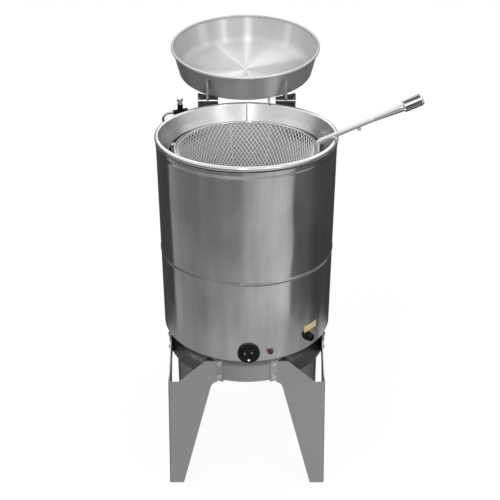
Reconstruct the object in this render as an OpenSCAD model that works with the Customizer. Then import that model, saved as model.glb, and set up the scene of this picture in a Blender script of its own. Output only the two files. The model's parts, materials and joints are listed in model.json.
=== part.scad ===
// Floor-standing electric fryer with a round jacketed tank, four sheet legs, a long-handled
// wire basket and a tilted draining basin on a rack behind the rim.
// Millimetres. +Z is up, the floor is z = 0, the front faces -Y and the tank axis is the Z axis.

/* [Body] */
// Outside diameter of the jacket
body_d = 400; // [380:1:430]
// Height of the jacket, from its lower edge to the top of the rim
body_h = 475; // [440:1:520]
// Height of the jacket's lower edge above the floor
floor_gap = 371; // [345:1:420]
// Sheet thickness of the jacket
jacket_wall = 1.2; // [0.8:0.1:1.8]
// Thickness of the folded hem at the jacket's lower edge
hem_t = 3; // [2.4:0.1:4]
// Height of the folded hem
hem_h = 9; // [6:0.5:14]
// Thickness of the rolled rim
rim_d = 12; // [10:0.5:14]
// How far the rolled rim stands out from the jacket
rim_proud = 2.5; // [1.5:0.1:3.5]
// Height of the stiffening bead above the jacket's lower edge
bead_rise = 201; // [140:1:240]
// Height of the swaged bead
bead_h = 9; // [7:0.5:11]
// How far the swaged bead stands out
bead_proud = 1.2; // [0.8:0.1:1.8]
// Height of the flared band under the rim
flare_h = 16; // [10:1:24]
// How far the flared band stands out
flare_proud = 1; // [0.5:0.1:1.5]

/* [Tank] */
// Gap between the jacket's outside and the inside of the oil well
jacket_gap = 28; // [22:1:34]
// Sheet thickness of the tank
tank_wall = 1.5; // [1:0.1:2]
// Width of the flat seat under the rolled rim
tank_seat_w = 10; // [8:0.5:12]
// Height of the sloping lip above the oil well
lip_h = 26; // [18:1:36]
// Height of the control space between jacket edge and tank outlet
control_h = 83; // [76:1:95]
// Drop of the dished tank floor
dish_drop = 28; // [18:1:40]
// Bore of the tank outlet
outlet_bore = 20; // [16:0.5:24]
// Length of the tank outlet below the floor
outlet_h = 18; // [14:1:24]

/* [Collar and legs] */
// How far the collar sits inside the jacket
collar_inset = 8; // [6:0.5:12]
// Height of the collar below the jacket's lower edge
collar_h = 63; // [58:1:80]
// Sheet thickness of the collar
collar_wall = 1.5; // [1:0.1:2.5]
// Height of the base plate above the jacket's lower edge
base_rise = 3; // [2:0.5:5]
// Thickness of the base plate
base_t = 1.5; // [1:0.1:3]
// Sheet thickness of a leg
leg_sheet = 2; // [1.5:0.1:3]
// How far a leg's bend lies inside the collar's tangent planes
leg_inset = 10; // [9:0.1:11.5]
// Outward lean of a leg's bend line, degrees
leg_lean = 2.15; // [1:0.05:3.5]
// Width of each wing of the foot
foot_w = 34; // [26:1:44]
// Drop of the leg's top below the jacket's lower edge
tab_drop = 10; // [8:1:16]
// Height of the tabs that are bolted to the collar
tab_h = 56; // [50:1:60]
// Angle of the bolt line from the nearest side of the body, degrees
tab_angle = 18.8; // [17.5:0.1:20]
// Free width of a tab past its bolts
tab_w = 9; // [8:0.5:11]
// Width of the level notch beside the bend
notch_w = 24; // [18:1:30]
// Drop of the notch below the top of the leg
notch_drop = 60; // [52:1:66]
// Width of the shoulder beside a tab
shoulder_w = 27; // [20:1:34]
// Distance from tab bend to the corner of the leg's inner edge
throat_w = 10; // [8:1:14]
// Diameter of the leg bolts
bolt_d = 6; // [5:0.5:6]
// Distance of the bolts from the tab's ends
bolt_edge = 6.5; // [6:0.5:10]

/* [Controls] */
// Height of the pilot lamp above the jacket's lower edge
control_rise = 26; // [24:1:34]
// How far the knob lies below the pilot lamp
knob_drop = 1.5; // [0:0.5:3]
// Angle of the knob to the right of the front, degrees
knob_turn = 1.4; // [0:0.1:3]
// Diameter of the thermostat knob
knob_d = 45.5; // [42:0.5:52]
// Height of the thermostat knob
knob_h = 15; // [14:1:22]
// Diameter of the thermostat shaft
shaft_d = 6; // [5:0.5:7]
// Diameter of the ring behind the knob
bezel_d = 51; // [50:1:58]
// Angle of the pilot lamp to the right of the front, degrees
lamp_turn = 15.4; // [14:0.1:24]
// Diameter of the pilot lamp's housing
lamp_d = 12; // [10:0.5:13]
// Angle of the cable gland to the right of the front, degrees
gland_turn = 44.4; // [40:0.1:56]
// Height of the cable gland above the jacket's lower edge
gland_rise = 32.6; // [28:0.1:40]
// Diameter of the cable hole in the gland
cable_d = 9; // [7:0.5:10]

/* [Heating and drain] */
// Diameter of the heating tube
element_d = 10; // [8:0.5:12]
// Distance of the heating loop from the wall of the oil well
element_inset = 52; // [40:1:65]
// Height of the heating loop above the tank outlet
element_rise = 48; // [44:1:60]
// Outside diameter of the drain pipe
drain_d = 30; // [30:0.5:34]
// Bore of the drain cock
cock_bore = 18; // [14:0.5:20]
// Length of the drain lever
lever_l = 85; // [70:1:110]

/* [Basket] */
// Distance of the basket's top ring from the wall of the oil well
ring_gap = 14; // [12:0.5:18]
// Diameter of the ring wire
ring_d = 6; // [5:0.5:7]
// Depth of the ring below the rim
ring_drop = 36; // [32:1:44]
// Depth of the basket below its ring
basket_h = 105; // [90:1:130]
// How far the basket's bottom hoop lies inside its top ring
hoop_inset = 45; // [35:1:58]
// Diameter of the mesh wire
wire_d = 2; // [1.6:0.1:2.4]
// Wires leaning each way round the wall
wire_count = 30; // [20:1:36]
// Angle that a wall wire runs round the basket, degrees
wire_twist = 36; // [24:1:42]
// Diameter of the upright ribs outside the wall
rib_d = 3.2; // [2.5:0.1:4]
// Number of upright ribs
rib_count = 10; // [8:1:12]
// Pitch of the bottom net
net_pitch = 18; // [15:1:26]
// Diameter of the handle tube
handle_d = 11; // [9:0.5:12]
// Diameter of the handle's core inside ferrule and grip
core_d = 8; // [7:0.5:8.5]
// Slope of the handle above the level, degrees
handle_slope = 24; // [22:0.5:28]
// Length of the plain part of the handle
handle_l = 122; // [100:1:140]
// Length of the flared ferrule in front of the grip
ferrule_l = 66; // [50:1:90]
// How far the handle lies in front of the tank axis
handle_y = 36; // [30:1:40]
// Diameter of the ferrule where it meets the grip
ferrule_d = 19; // [15:0.5:21]
// Diameter of the grip
grip_d = 26; // [22:1:30]
// Length of the grip
grip_l = 44; // [40:1:60]

/* [Basin and rack] */
// Outside radius of the basin's lip
basin_r = 185.6; // [176:0.1:188]
// Depth of the basin
basin_h = 69; // [62:1:75]
// Outside radius of the basin's wall at the bottom
basin_foot_r = 167; // [162:0.5:170]
// Radius of the round between the basin's wall and floor
basin_round = 5; // [4:0.5:10]
// Sheet thickness of the basin
basin_wall = 1.2; // [1:0.1:2]
// Thickness of the basin's rolled lip
basin_lip_d = 7; // [5:0.5:8]
// Forward tilt of the basin, degrees
basin_tilt = 9; // [8.5:0.1:10]
// How far the basin sits to the left of the rack's middle
basin_shift = 3.6; // [0:0.1:6]
// Distance of the basin's floor centre behind the jacket
basin_back = 156; // [153:1:165]
// Height of the basin's floor centre above the rim
basin_rise = 32.5; // [31.5:0.5:40]
// Side offset of the basin's drip spout
spout_x = 56.5; // [50:0.5:62]
// Outside diameter of the drip spout
spout_d = 6; // [5:0.5:7]
// Diameter of the rack's round rods
rod_d = 6; // [5:0.5:6.5]
// Side offset of the rods
rod_x = 94; // [91:1:97]
// Height of the upturned rod ends above the rim
stop_h = 55; // [40:1:57]
// Width of a rack upright
upright_w = 48; // [44:1:50]
// Depth of a rack upright
upright_depth = 22; // [18:1:23]
// Sheet thickness of a rack upright
upright_t = 1.5; // [1.2:0.1:2]
// Width of the lips of a rack upright
upright_lip = 6; // [5:0.5:9]
// Length of a rack upright below the rim
upright_l = 250; // [230:1:270]
// Depth of the cross bars' tube
bar_t = 10; // [9:0.5:12]
// Height of the cross bars' tube
bar_h = 34; // [30:1:40]
// Depth of the upper cross bar below the rim
bar_drop = 80; // [60:1:100]
// Distance between the two cross bars
bar_pitch = 130; // [110:1:140]

/* [Rear tap] */
// Angle of the tap behind the left side, degrees from the right side
tap_turn = 134.5; // [130:0.5:140]
// Distance of the tap's centre from the jacket
tap_out = 24; // [21:0.5:30]
// Depth of the tap's bar below the rim
tap_drop = 9.5; // [7:0.5:14]
// Length of the tap's bar
tap_l = 36; // [30:1:44]
// Diameter of the tap's bar
tap_d = 11; // [10:0.5:13]
// Outside diameter of the tap's pipe
tap_pipe_d = 12; // [10:0.5:12]
// Depth of the tap's inlet below the rim
tap_inlet_drop = 51; // [46:1:60]

/* [Hidden] */
$fn = 96;
// Gap where two fixed pieces touch
seat = 0.05;
// Gap where a lifted piece rests
rest_gap = 0.3;
// Radial running clearance of a turning shaft
run_gap = 0.05;
// Clearance of a bolt in its hole
hole_gap = 0.4;
front = -90;
rear = 90;
body_r = body_d/2;
jacket_in_r = body_r - jacket_wall;
rim_z = floor_gap + body_h;
rim_r = body_r + rim_proud - rim_d/2;
jacket_top = rim_z - rim_d;
bead_z = floor_gap + bead_rise;
bead_round = (bead_h*bead_h/4 + bead_proud*bead_proud)/(2*bead_proud);
bead_half = asin(bead_h/(2*bead_round));
control_z = floor_gap + control_rise;
knob_z = control_z - knob_drop;
gland_z = floor_gap + gland_rise;
knob_az = front + knob_turn;
lamp_az = front + lamp_turn;
gland_az = front + gland_turn;

// Tank heights and radii
well_r = body_r - jacket_gap;
tank_seat_r = jacket_in_r - rest_gap;
lip_r = tank_seat_r - tank_seat_w;
tank_top = jacket_top - seat;
well_top = tank_top - lip_h;
lip_run = (lip_r - well_r)/lip_h;
lip_wall = tank_wall*sqrt(1 + lip_run*lip_run);
outlet_r = outlet_bore/2;
tank_floor = floor_gap + control_h;
dish_run = dish_drop/(well_r - outlet_r);
dish_wall = tank_wall*sqrt(1 + dish_run*dish_run);
outlet_end = tank_floor - outlet_h;
function dish_z(r) = tank_floor + dish_run*(r - outlet_r);

// Collar and legs
base_z = floor_gap + base_rise;
base_top = base_z + base_t;
base_r = body_r - hem_t - rest_gap;
collar_r = body_r - collar_inset;
collar_end = floor_gap - collar_h;
collar_flange = 12;
collar_hem = 3.5;
leg_reach = collar_r - leg_inset;
leg_top = floor_gap - tab_drop;
tab_end = leg_top - tab_h;
notch_z = leg_top - notch_drop;
tab_r = collar_r + seat;
leg_in = leg_reach - leg_sheet - (leg_top - notch_z)/2*tan(leg_lean)/sqrt(2);
tab_bend = (tab_r*cos(tab_angle) - leg_in)/sin(tab_angle);
tab_u = leg_reach - tab_r*sin(tab_angle) - tab_bend*cos(tab_angle);
bolt_zs = [tab_end + 2*bolt_edge, leg_top - bolt_edge];
bolt_head_d = bolt_d*1.9;
bolt_head_h = 4;
leg_nut_h = 5;
leg_nut_r = sqrt(pow(collar_r - collar_wall, 2) - pow(bolt_head_d/2, 2)) - leg_nut_h - seat;

// Thermostat, lamp and gland
bush_d = shaft_d + 4;
bush_nut_d = bush_d*1.8;
bezel_h = 3.4;
knob_gap = 0.6;
knob_base = body_r + bezel_h + knob_gap;
stat_depth = 35;
stat_w = 36;
stat_h = 40;
stat_r = body_r - 8 - stat_depth;
lamp_flange_d = lamp_d + 6;
lamp_flange_h = 3;
gland_hex_d = 22;
gland_hex_h = 5;
gland_thread_d = cable_d + 6;
gland_thread_l = 16;
gland_cap_r = 9.6;
gland_cap_round = 5;
gland_h = 15;
gland_nut_h = 5;
gland_nut_r = sqrt(pow(jacket_in_r, 2) - pow(gland_hex_d/2, 2)) - gland_nut_h - seat;

// Heating loop and sensor
element_r = well_r - element_inset;
element_z = tank_floor + element_rise;
element_gap = 20;
element_bend = 15;
element_leg = element_rise + 12 - element_bend;
sensor_y = element_r - 25;
sensor_d = 8;
sensor_l = 90;
capillary_d = 2;

// Drain cock
drain_r = drain_d/2;
outlet_wall = 1.9;
outlet_wall_r = outlet_r + outlet_wall;
drain_seat = 4;
drain_top = tank_floor - drain_seat;
ball_wall = 6;
ball_r = cock_bore/2 + ball_wall;
cock_wall = 6;
cock_r = ball_r + cock_wall;
cock_drop = 81;
cock_z = floor_gap - cock_drop;
cock_neck = 8;
cock_top = cock_z + cock_r + cock_neck;
cock_end = cock_z - cock_r - cock_neck;
nozzle_l = 22;
nozzle_end = cock_end - nozzle_l;
socket_depth = 12;
stem_d = 8;
stem_proud = 7;
stem_out = cock_r + stem_proud;
lever_w = 14;
lever_t = 3;

// Basket
ring_r = well_r - ring_gap;
hoop_r = ring_r - hoop_inset;
ring_z = rim_z - ring_drop;
wire_top_r = ring_r - ring_d/2 - wire_d/2 - seat;
wall_lean = atan((wire_top_r - hoop_r)/basket_h);
wire_gap = 0.1;
wire_step = (wire_d + wire_gap)/(cos(wire_twist/2)*cos(wall_lean));
hoop_d = 4;
basket_end = ring_z - basket_h;
wire_clear = 0.65;
wire_end_z = basket_end + hoop_d/2 + wire_clear;
rib_turn = 105;
rib_lean = atan(hoop_inset/basket_h);
rib_tuck = 0.4;
rib_top_r = ring_r - rib_tuck;
rib_drop = 0.15;
rib_top_z = ring_z - ring_d/2 - rib_drop;
rib_low_r = hoop_r + (hoop_d/2 + rib_d/2 + seat)/cos(rib_lean);
rest_turn = 51;
net_r = hoop_r - hoop_d/2 - seat;
net_t = 2;
rest_clear = 0.5;
rest_len = well_r - ring_r - rest_clear;
handle_rise = 27.6;
handle_bend = 14;
handle_foot_x = sqrt(ring_r*ring_r - handle_y*handle_y);
grip_bore_l = 34;
grip_flutes = 6;
flute_d = 9;
flute_out = 1.8;

// Basin, rods and rack
basin_y = body_r + basin_back;
basin_z = rim_z + basin_rise;
basin_top_r = basin_r - basin_lip_d/2;
basin_flare = (basin_top_r - basin_foot_r)/basin_h;
spout_bend = 6;
spout_h = 5.5;
spout_y = 178;
spout_end = 2.5;
stop_local_h = 48;
stop_wall_r = basin_foot_r + basin_flare*stop_local_h;
stop_y = basin_y - cos(basin_tilt)*sqrt(pow(stop_wall_r, 2) - pow(rod_x - basin_shift, 2))
    - sin(basin_tilt)*stop_local_h - rod_d/2 - 1;
rod_bend = 6;
knee_proud = 0.2;
rod_drop = (rod_d/2 + knee_proud + rest_gap)/cos(basin_tilt);
rod_slope_y = stop_y + rod_bend + 14;
function floor_under(y) = basin_z + (y - basin_y)*tan(basin_tilt);
rod_z = floor_under(rod_slope_y) - rod_drop;
rod_slope_l = 250;
bar_y = body_r + seat;
upright_y = bar_y + bar_t + seat;
upright_in = rod_x - upright_w/2;
upright_low = rim_z + 1;
upright_high = rim_z + 12;
cross_y = upright_y - rod_d/2 - seat;
cross_z = rod_z - rod_d - seat;
bar_zs = [rim_z - bar_drop, rim_z - bar_drop - bar_pitch];
bar_screw_pitch = 16;
screw_d = 6;
screw_reach = 9;
screw_head_h = 4;
screw_nut_h = 5;
arm_t = 3;
arm_y = upright_y + upright_depth + seat;
arm_l = 190;
arm_drop = 110;
arm_foot = 30;
arm_tip = 12;

// Rear tap
tap_r = body_r + tap_out;
tap_z = rim_z - tap_drop;
tap_inlet_z = rim_z - tap_inlet_drop;
tap_bar_turn = 28;
tap_pipe_bend = 12;
tap_socket_d = tap_pipe_d + 5;
tap_neck_d = 13;
tap_neck_h = 17;
tap_stem_d = 4;
tap_spout_d = 6;
tap_spout_l = 22;
tap_nut_d = tap_pipe_d*1.8;

// Points on an arc of a circle, counted from one angle to another
function arc(centre, r, from, to, n = 8) =
    [for (i = [0:n]) let (a = from + (to - from)*i/n) centre + r*[cos(a), sin(a)]];

// Direction from one point to another, of length one
function unit(v) = v/norm(v);

// Arc that rounds the corner p between the points a and b
function corner(a, p, b, r, n) =
    let (u = unit(a - p),
         w = unit(b - p),
         half = acos(u*w)/2,
         centre = p + unit(u + w)*r/sin(half),
         start = p + u*r/tan(half) - centre,
         end = p + w*r/tan(half) - centre,
         from = atan2(start.y, start.x),
         sweep = (atan2(end.y, end.x) - from + 540) % 360 - 180)
    arc(centre, r, from, from + sweep, n);

// Outline of corner points [x, y, radius] with its corners rounded
function rounded(points, n = 6) =
    let (last = len(points) - 1)
    [for (i = [0:last])
        let (q = points[i],
             p = [q.x, q.y],
             a = points[i == 0 ? last : i - 1],
             b = points[i == last ? 0 : i + 1])
        each q.z == 0 ? [p] : corner([a.x, a.y], p, [b.x, b.y], q.z, n)];

// Places its children on a radius, with their +Z pointing away from the tank axis
module radial(azimuth, r, z) {
    rotate([0, 0, azimuth]) translate([r, 0, z]) rotate([0, 90, 0]) children();
}

// Cylinder that drills or fills a radial hole through a wall of radius r
module radial_hole(azimuth, r, z, d) {
    radial(azimuth, r - 14, z) cylinder(d = d, h = 28);
}

// Hexagonal nut with a round bore
module hex_nut(across, bore, h) {
    difference() {
        cylinder(d = across, h = h, $fn = 6);
        translate([0, 0, -1]) cylinder(d = bore, h = h + 2);
    }
}

// Cross section of a round rod, or of a tube where it has a bore
module rod_section(d, bore) {
    difference() {
        circle(d = d);
        if (bore > 0) circle(d = bore);
    }
}

// Bent rod from a list of [run, bend radius, bend angle, roll], starting up along +Z.
// Each step runs straight and then bends towards +X, turned round the rod by its roll.
module bent_rod(steps, d, bore = 0, i = 0) {
    run = steps[i][0];
    bend = steps[i][1];
    angle = steps[i][2];
    if (run > 0) linear_extrude(run) rod_section(d, bore);
    translate([0, 0, run]) rotate([0, 0, steps[i][3]]) {
        if (angle > 0)
            translate([bend, 0, 0]) rotate([90, 0, 180])
                rotate_extrude(angle = angle) translate([bend, 0]) rod_section(d, bore);
        if (i < len(steps) - 1)
            translate([bend*(1 - cos(angle)), 0, bend*sin(angle)]) rotate([0, angle, 0])
                bent_rod(steps, d, bore, i + 1);
    }
}

// Straight wire between two points
module wire(from, to, d) {
    v = to - from;
    translate(from) rotate([0, acos(v.z/norm(v)), atan2(v.y, v.x)]) cylinder(d = d, h = norm(v));
}

// Places its children in the basin's tilted frame, with the floor's underside at z = 0
module at_basin() {
    translate([-basin_shift, basin_y, basin_z]) rotate([basin_tilt, 0, 0]) children();
}

// Jacket: a sheet cylinder with a folded hem, a stiffening bead and a flared top band
module outer_shell() color("gainsboro") difference() {
    rotate_extrude() polygon(concat(
        arc([body_r - hem_t/2, floor_gap + hem_t/2], hem_t/2, 180, 360),
        arc([body_r + bead_proud - bead_round, bead_z], bead_round, -bead_half, bead_half),
        [[body_r, jacket_top - flare_h],
         [body_r + flare_proud, jacket_top - flare_h/2],
         [body_r + flare_proud, jacket_top],
         [jacket_in_r, jacket_top],
         [jacket_in_r, floor_gap + hem_h],
         [body_r - hem_t, floor_gap + hem_h - hem_t/2]]));
    radial_hole(knob_az, body_r, knob_z, bush_d + hole_gap);
    radial_hole(lamp_az, body_r, control_z, lamp_d + hole_gap);
    radial_hole(gland_az, body_r, gland_z, gland_thread_d + hole_gap);
    radial_hole(tap_turn, body_r, tap_inlet_z, tap_pipe_d + hole_gap);
    for (z = bar_zs, s = [-1, 1])
        radial_hole(rear, body_r, z + s*bar_screw_pitch/2, screw_d + hole_gap);
}

// Rolled rim that closes the top of the jacket over the tank's seat
module rim_ring() color("white")
    rotate_extrude() translate([rim_r, rim_z - rim_d/2]) circle(d = rim_d);

// Tank: flat seat, sloping lip, oil well and dished floor with a central outlet
module tank() color("silver") difference() {
    rotate_extrude() polygon([
        [tank_seat_r, tank_top],
        [lip_r, tank_top],
        [well_r, well_top],
        [well_r, dish_z(well_r)],
        [outlet_r, tank_floor],
        [outlet_r, outlet_end],
        [outlet_wall_r, outlet_end],
        [outlet_wall_r, dish_z(outlet_wall_r) - dish_wall],
        [well_r + tank_wall, dish_z(well_r + tank_wall) - dish_wall],
        [well_r + tank_wall, well_top - (lip_wall - tank_wall)/lip_run],
        [lip_r + lip_wall - tank_wall*lip_run, tank_top - tank_wall],
        [tank_seat_r, tank_top - tank_wall]]);
    element_legs(hole_gap);
    rotate([0, 0, knob_turn]) translate([0, -sensor_y, outlet_end])
        cylinder(d = capillary_d + hole_gap, h = outlet_h + dish_drop);
    radial_hole(tap_turn, well_r, tap_inlet_z, tap_pipe_d + hole_gap);
}

// Insulating sleeve between tank and jacket
module insulation() color("khaki") difference() {
    inner = well_r + tank_wall + 0.5;
    outer = jacket_in_r - 0.5;
    top = tank_top - 6;
    rotate_extrude() polygon([
        [inner, dish_z(well_r)],
        [outer, dish_z(well_r)],
        [outer, top],
        [well_r + lip_run*(top - well_top) + lip_wall + 0.5, top],
        [inner, well_top - 2]]);
    radial_hole(tap_turn, (inner + outer)/2, tap_inlet_z, tap_pipe_d + hole_gap);
    for (z = bar_zs, s = [-1, 1])
        radial_hole(rear, body_r, z + s*bar_screw_pitch/2, screw_d*1.8 + 2);
}

// Plate that closes the jacket below the control space
module base_plate() color("silver") difference() {
    translate([0, 0, base_z]) cylinder(r = base_r, h = base_t);
    translate([0, 0, base_z - 1]) cylinder(d = drain_d + 4, h = base_t + 2);
}

// Collar: recessed skirt under the base plate that carries the legs
module collar() color("gainsboro") difference() {
    rotate_extrude() polygon(concat(
        arc([collar_r - collar_wall, collar_end + collar_wall], collar_wall, 180, 360),
        [[collar_r, base_z],
         [collar_r - collar_flange, base_z],
         [collar_r - collar_flange, base_z - collar_wall],
         [collar_r - collar_wall, base_z - collar_wall],
         [collar_r - collar_wall, collar_end + collar_hem],
         [collar_r - 2*collar_wall, collar_end + collar_hem]]));
    at_leg_bolts() translate([0, 0, collar_r - 14]) cylinder(d = bolt_d + hole_gap, h = 28);
}

// Places its children on the axis of every leg bolt, pointing outwards from the tank axis
module at_leg_bolts() {
    for (quarter = [0:90:270], side = [tab_angle, 90 - tab_angle], z = bolt_zs)
        radial(quarter + side, 0, z) children();
}

// Outline of one wing of a leg, from the bend towards the tab
module wing_outline() {
    points = rounded([
        [0, -foot_w/10, 0],
        [foot_w, -foot_w/10, 7],
        [tab_u - throat_w, tab_end, 20],
        [tab_u + leg_sheet/2, tab_end, 0],
        [tab_u + leg_sheet/2, leg_top, 0],
        [tab_u - shoulder_w, leg_top, 8],
        [notch_w, notch_z, 12],
        [0, notch_z, 0]]);
    polygon([for (p = points) [-p.x, p.y]]);
}

// Flat blank of a leg bent to a right angle, before it is leaned outwards
module leg_blank() {
    arm = tab_u + leg_sheet;
    face = leg_reach - leg_sheet;
    bend_depth = 9;
    intersection() {
        translate([0, 0, -foot_w]) linear_extrude(leg_top + 2*foot_w) polygon(rounded([
            [leg_reach - arm, leg_reach, 0],
            [leg_reach, leg_reach, leg_sheet + 3],
            [leg_reach, leg_reach - arm, 0],
            [face, leg_reach - arm, 0],
            [face, face, 3],
            [leg_reach - arm, face, 0]]));
        for (m = [0, 1])
            mirror([m, -m, 0]) translate([leg_reach, leg_reach + 1, 0]) rotate([90, 0, 0])
                linear_extrude(bend_depth) wing_outline();
    }
}

// One leg: a bent and leaned sheet with two tabs that lie on the collar
module leg() color("darkgray") difference() {
    union() {
        intersection() {
            translate([leg_reach, leg_reach, notch_z]) rotate(a = leg_lean, v = [1, -1, 0])
                translate([-leg_reach, -leg_reach, -notch_z]) leg_blank();
            cube([body_d, body_d, rim_z]);
        }
        for (m = [0, 1])
            mirror([m, -m, 0]) rotate([0, 0, tab_angle])
                translate([tab_r, -tab_w, tab_end]) cube([leg_sheet, tab_w + tab_bend, tab_h]);
    }
    translate([0, 0, tab_end - 1]) cylinder(r = collar_r + seat/2, h = tab_h + 2, $fn = 720);
    at_leg_bolts() translate([0, 0, collar_r - 14]) cylinder(d = bolt_d + hole_gap, h = 28);
}

module leg_front_left() rotate([0, 0, 180]) leg();
module leg_front_right() rotate([0, 0, 270]) leg();
module leg_rear_left() rotate([0, 0, 90]) leg();
module leg_rear_right() leg();

// Hexagon bolts that fasten the leg tabs to the collar
module leg_bolts() color("white") at_leg_bolts() {
    head_r = tab_r + leg_sheet + seat;
    translate([0, 0, leg_nut_r - 1]) cylinder(d = bolt_d, h = head_r - leg_nut_r + 2);
    translate([0, 0, head_r]) cylinder(d = bolt_head_d, h = bolt_head_h, $fn = 6);
}

// Nuts of the leg bolts, inside the collar
module leg_nuts() color("silver") at_leg_bolts()
    translate([0, 0, leg_nut_r]) hex_nut(bolt_head_d, bolt_d + 0.1, leg_nut_h);

// Thermostat: switch housing with the threaded bush that carries the shaft
module thermostat_body() color("ivory") radial(knob_az, stat_r, knob_z) difference() {
    union() {
        translate([-stat_h/2, -stat_w/2, 0]) cube([stat_h, stat_w, stat_depth]);
        cylinder(d = bush_d, h = body_r - stat_r + bezel_h - 0.2);
    }
    translate([0, 0, stat_depth - 22]) cylinder(d = shaft_d + 2*run_gap, h = body_r - stat_r);
}

// Ring nut that holds the thermostat's bush to the jacket
module thermostat_nut() color("silver") radial(knob_az, body_r + seat, knob_z)
    hex_nut(bush_nut_d, bush_d + 0.1, bezel_h - 0.6);

// Plain ring behind the knob, hollowed to sit on the round jacket
module thermostat_bezel() color("lightgray") difference() {
    radial(knob_az, body_r - 4, knob_z) cylinder(d = bezel_d, h = 4 + bezel_h);
    cylinder(r = body_r + seat, h = rim_z, $fn = 720);
    radial_hole(knob_az, body_r, knob_z, bush_nut_d + 2);
}

// Shaft of the thermostat, turned by the knob
module thermostat_shaft() color("silver") radial(knob_az, stat_r + stat_depth - 20, knob_z)
    cylinder(d = shaft_d, h = knob_base + knob_h/2 - stat_r - stat_depth + 20);

// Thermostat knob: skirted body with a grip bar and a shallow thumb groove on each side
module thermostat_knob() color("dimgray") radial(knob_az, knob_base, knob_z) difference() {
    skirt_h = 5;
    waist_r = knob_d/2 - 5;
    rotate_extrude() polygon(concat(
        [[0, 0], [knob_d/2 - 1, 0]],
        arc([knob_d/2 - 2, skirt_h - 2], 2, 0, 90, 5),
        [[waist_r, skirt_h + 1]],
        arc([waist_r - 5, knob_h - 3], 3, 0, 90, 5),
        [[0, knob_h]]));
    for (s = [-1, 1])
        translate([-knob_d, s*(knob_d/2 + 3) - knob_d/4, skirt_h + 3])
            cube([2*knob_d, knob_d/2, knob_h]);
    translate([0, 0, -1]) cylinder(d = shaft_d + 2*seat, h = knob_h/2 + 1);
}

// Sensing bulb of the thermostat, standing in the oil between the legs of the heating loop
module sensor_bulb() color("peru")
    rotate([0, 0, knob_turn]) translate([0, -sensor_y, dish_z(sensor_y) + 12])
        cylinder(d = sensor_d, h = sensor_l);

// Capillary tube from the thermostat up through the tank floor to the bulb
module sensor_capillary() color("peru") {
    bend = 12;
    start = stat_r - seat;
    run = start - sensor_y - bend;
    rise = dish_z(sensor_y) + 12 - knob_z - bend - seat;
    rotate([0, 0, knob_turn]) translate([0, -start, knob_z]) rotate([-90, 0, 0])
        bent_rod([[run, bend, 90, -90], [rise, 0, 0, 0]], capillary_d);
}

// Pilot lamp: housing with the flange that seats on the jacket
module lamp_housing() color("gainsboro") radial(lamp_az, body_r, control_z) {
    translate([0, 0, -30]) cylinder(d = lamp_d, h = 30 + seat);
    translate([0, 0, seat]) cylinder(d = lamp_flange_d, h = lamp_flange_h);
}

// Domed red lens of the pilot lamp
module lamp_lens() color("darkred") radial(lamp_az, body_r + lamp_flange_h + 2*seat, control_z)
    rotate_extrude() polygon(concat(
        [[0, 0]],
        [[lamp_d/2 + 0.6, 0]],
        arc([lamp_d/2 - 1.4, 2.5], 2, 0, 90, 5),
        [[0, 5.2]]));

// Three-pole terminal block on the base plate
module terminal_block() color("ivory") translate([70, 40, base_top + seat]) {
    pole = 16;
    difference() {
        cube([3*pole, 22, 20]);
        for (i = [0:2]) {
            translate([(i + 0.5)*pole, 11, 8]) cylinder(d = 6, h = 20);
            translate([(i + 0.5)*pole, -1, 8]) rotate([-90, 0, 0]) cylinder(d = 5, h = 24);
        }
    }
}

// Cable gland: hexagon flange, rounded cap and the wide-bored thread that passes the jacket
module cable_gland() color("dimgray") radial(gland_az, body_r, gland_z) difference() {
    union() {
        translate([0, 0, -gland_thread_l]) cylinder(d = gland_thread_d, h = gland_thread_l + 1);
        translate([0, 0, seat]) cylinder(d = gland_hex_d, h = gland_hex_h, $fn = 6);
        rotate_extrude() polygon(concat(
            [[0, 1], [gland_cap_r, 1]],
            arc([gland_cap_r - gland_cap_round, gland_h - gland_cap_round], gland_cap_round, 0, 90, 6),
            [[0, gland_h]]));
    }
    cylinder(d = cable_d, h = gland_h + 1);
    translate([0, 0, -gland_thread_l - 1]) cylinder(d = cable_d + 3, h = gland_thread_l + 2);
}

// Lock nut of the cable gland, inside the jacket
module gland_nut() color("dimgray") radial(gland_az, gland_nut_r, gland_z)
    hex_nut(gland_hex_d, gland_thread_d + 0.1, gland_nut_h);

// Cylinders on the two legs of the heating loop, wider than the tube by a gap
module element_legs(gap) {
    for (s = [-1, 1])
        rotate([0, 0, front + s*element_gap]) translate([element_r, -s*element_bend, outlet_end])
            cylinder(d = element_d + gap, h = element_leg + outlet_h);
}

// Heating element: a ring tube with crimped sleeves whose two ends turn down through the tank floor
module heating_element() color("slategray") {
    translate([0, 0, element_z]) rotate([0, 0, front + element_gap])
        rotate_extrude(angle = 360 - 2*element_gap) translate([element_r, 0]) circle(d = element_d);
    for (s = [-1, 1])
        rotate([0, 0, front + s*element_gap]) {
            translate([element_r, -s*element_bend, element_z - element_bend - element_leg])
                bent_rod([[element_leg, element_bend, 90, s*90]], element_d);
            translate([element_r, 2, element_z]) rotate([90, 0, 0]) cylinder(d = element_d + 1, h = 4);
        }
}

// Nuts that clamp the heating tube's legs under the tank floor
module element_nuts() color("goldenrod")
    for (s = [-1, 1])
        rotate([0, 0, front + s*element_gap])
            translate([element_r, -s*element_bend, dish_z(element_r - element_d) - dish_wall - 6.5])
                hex_nut(element_d*1.8, element_d + 0.1, 6);

// Drain pipe from the tank outlet down through the base plate
module drain_pipe() color("silver") difference() {
    pipe_l = drain_top - cock_top + socket_depth;
    translate([0, 0, cock_top - socket_depth]) cylinder(r = drain_r, h = pipe_l);
    translate([0, 0, cock_top - socket_depth - 1]) cylinder(r = outlet_wall_r + run_gap, h = pipe_l + 2);
}

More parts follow.
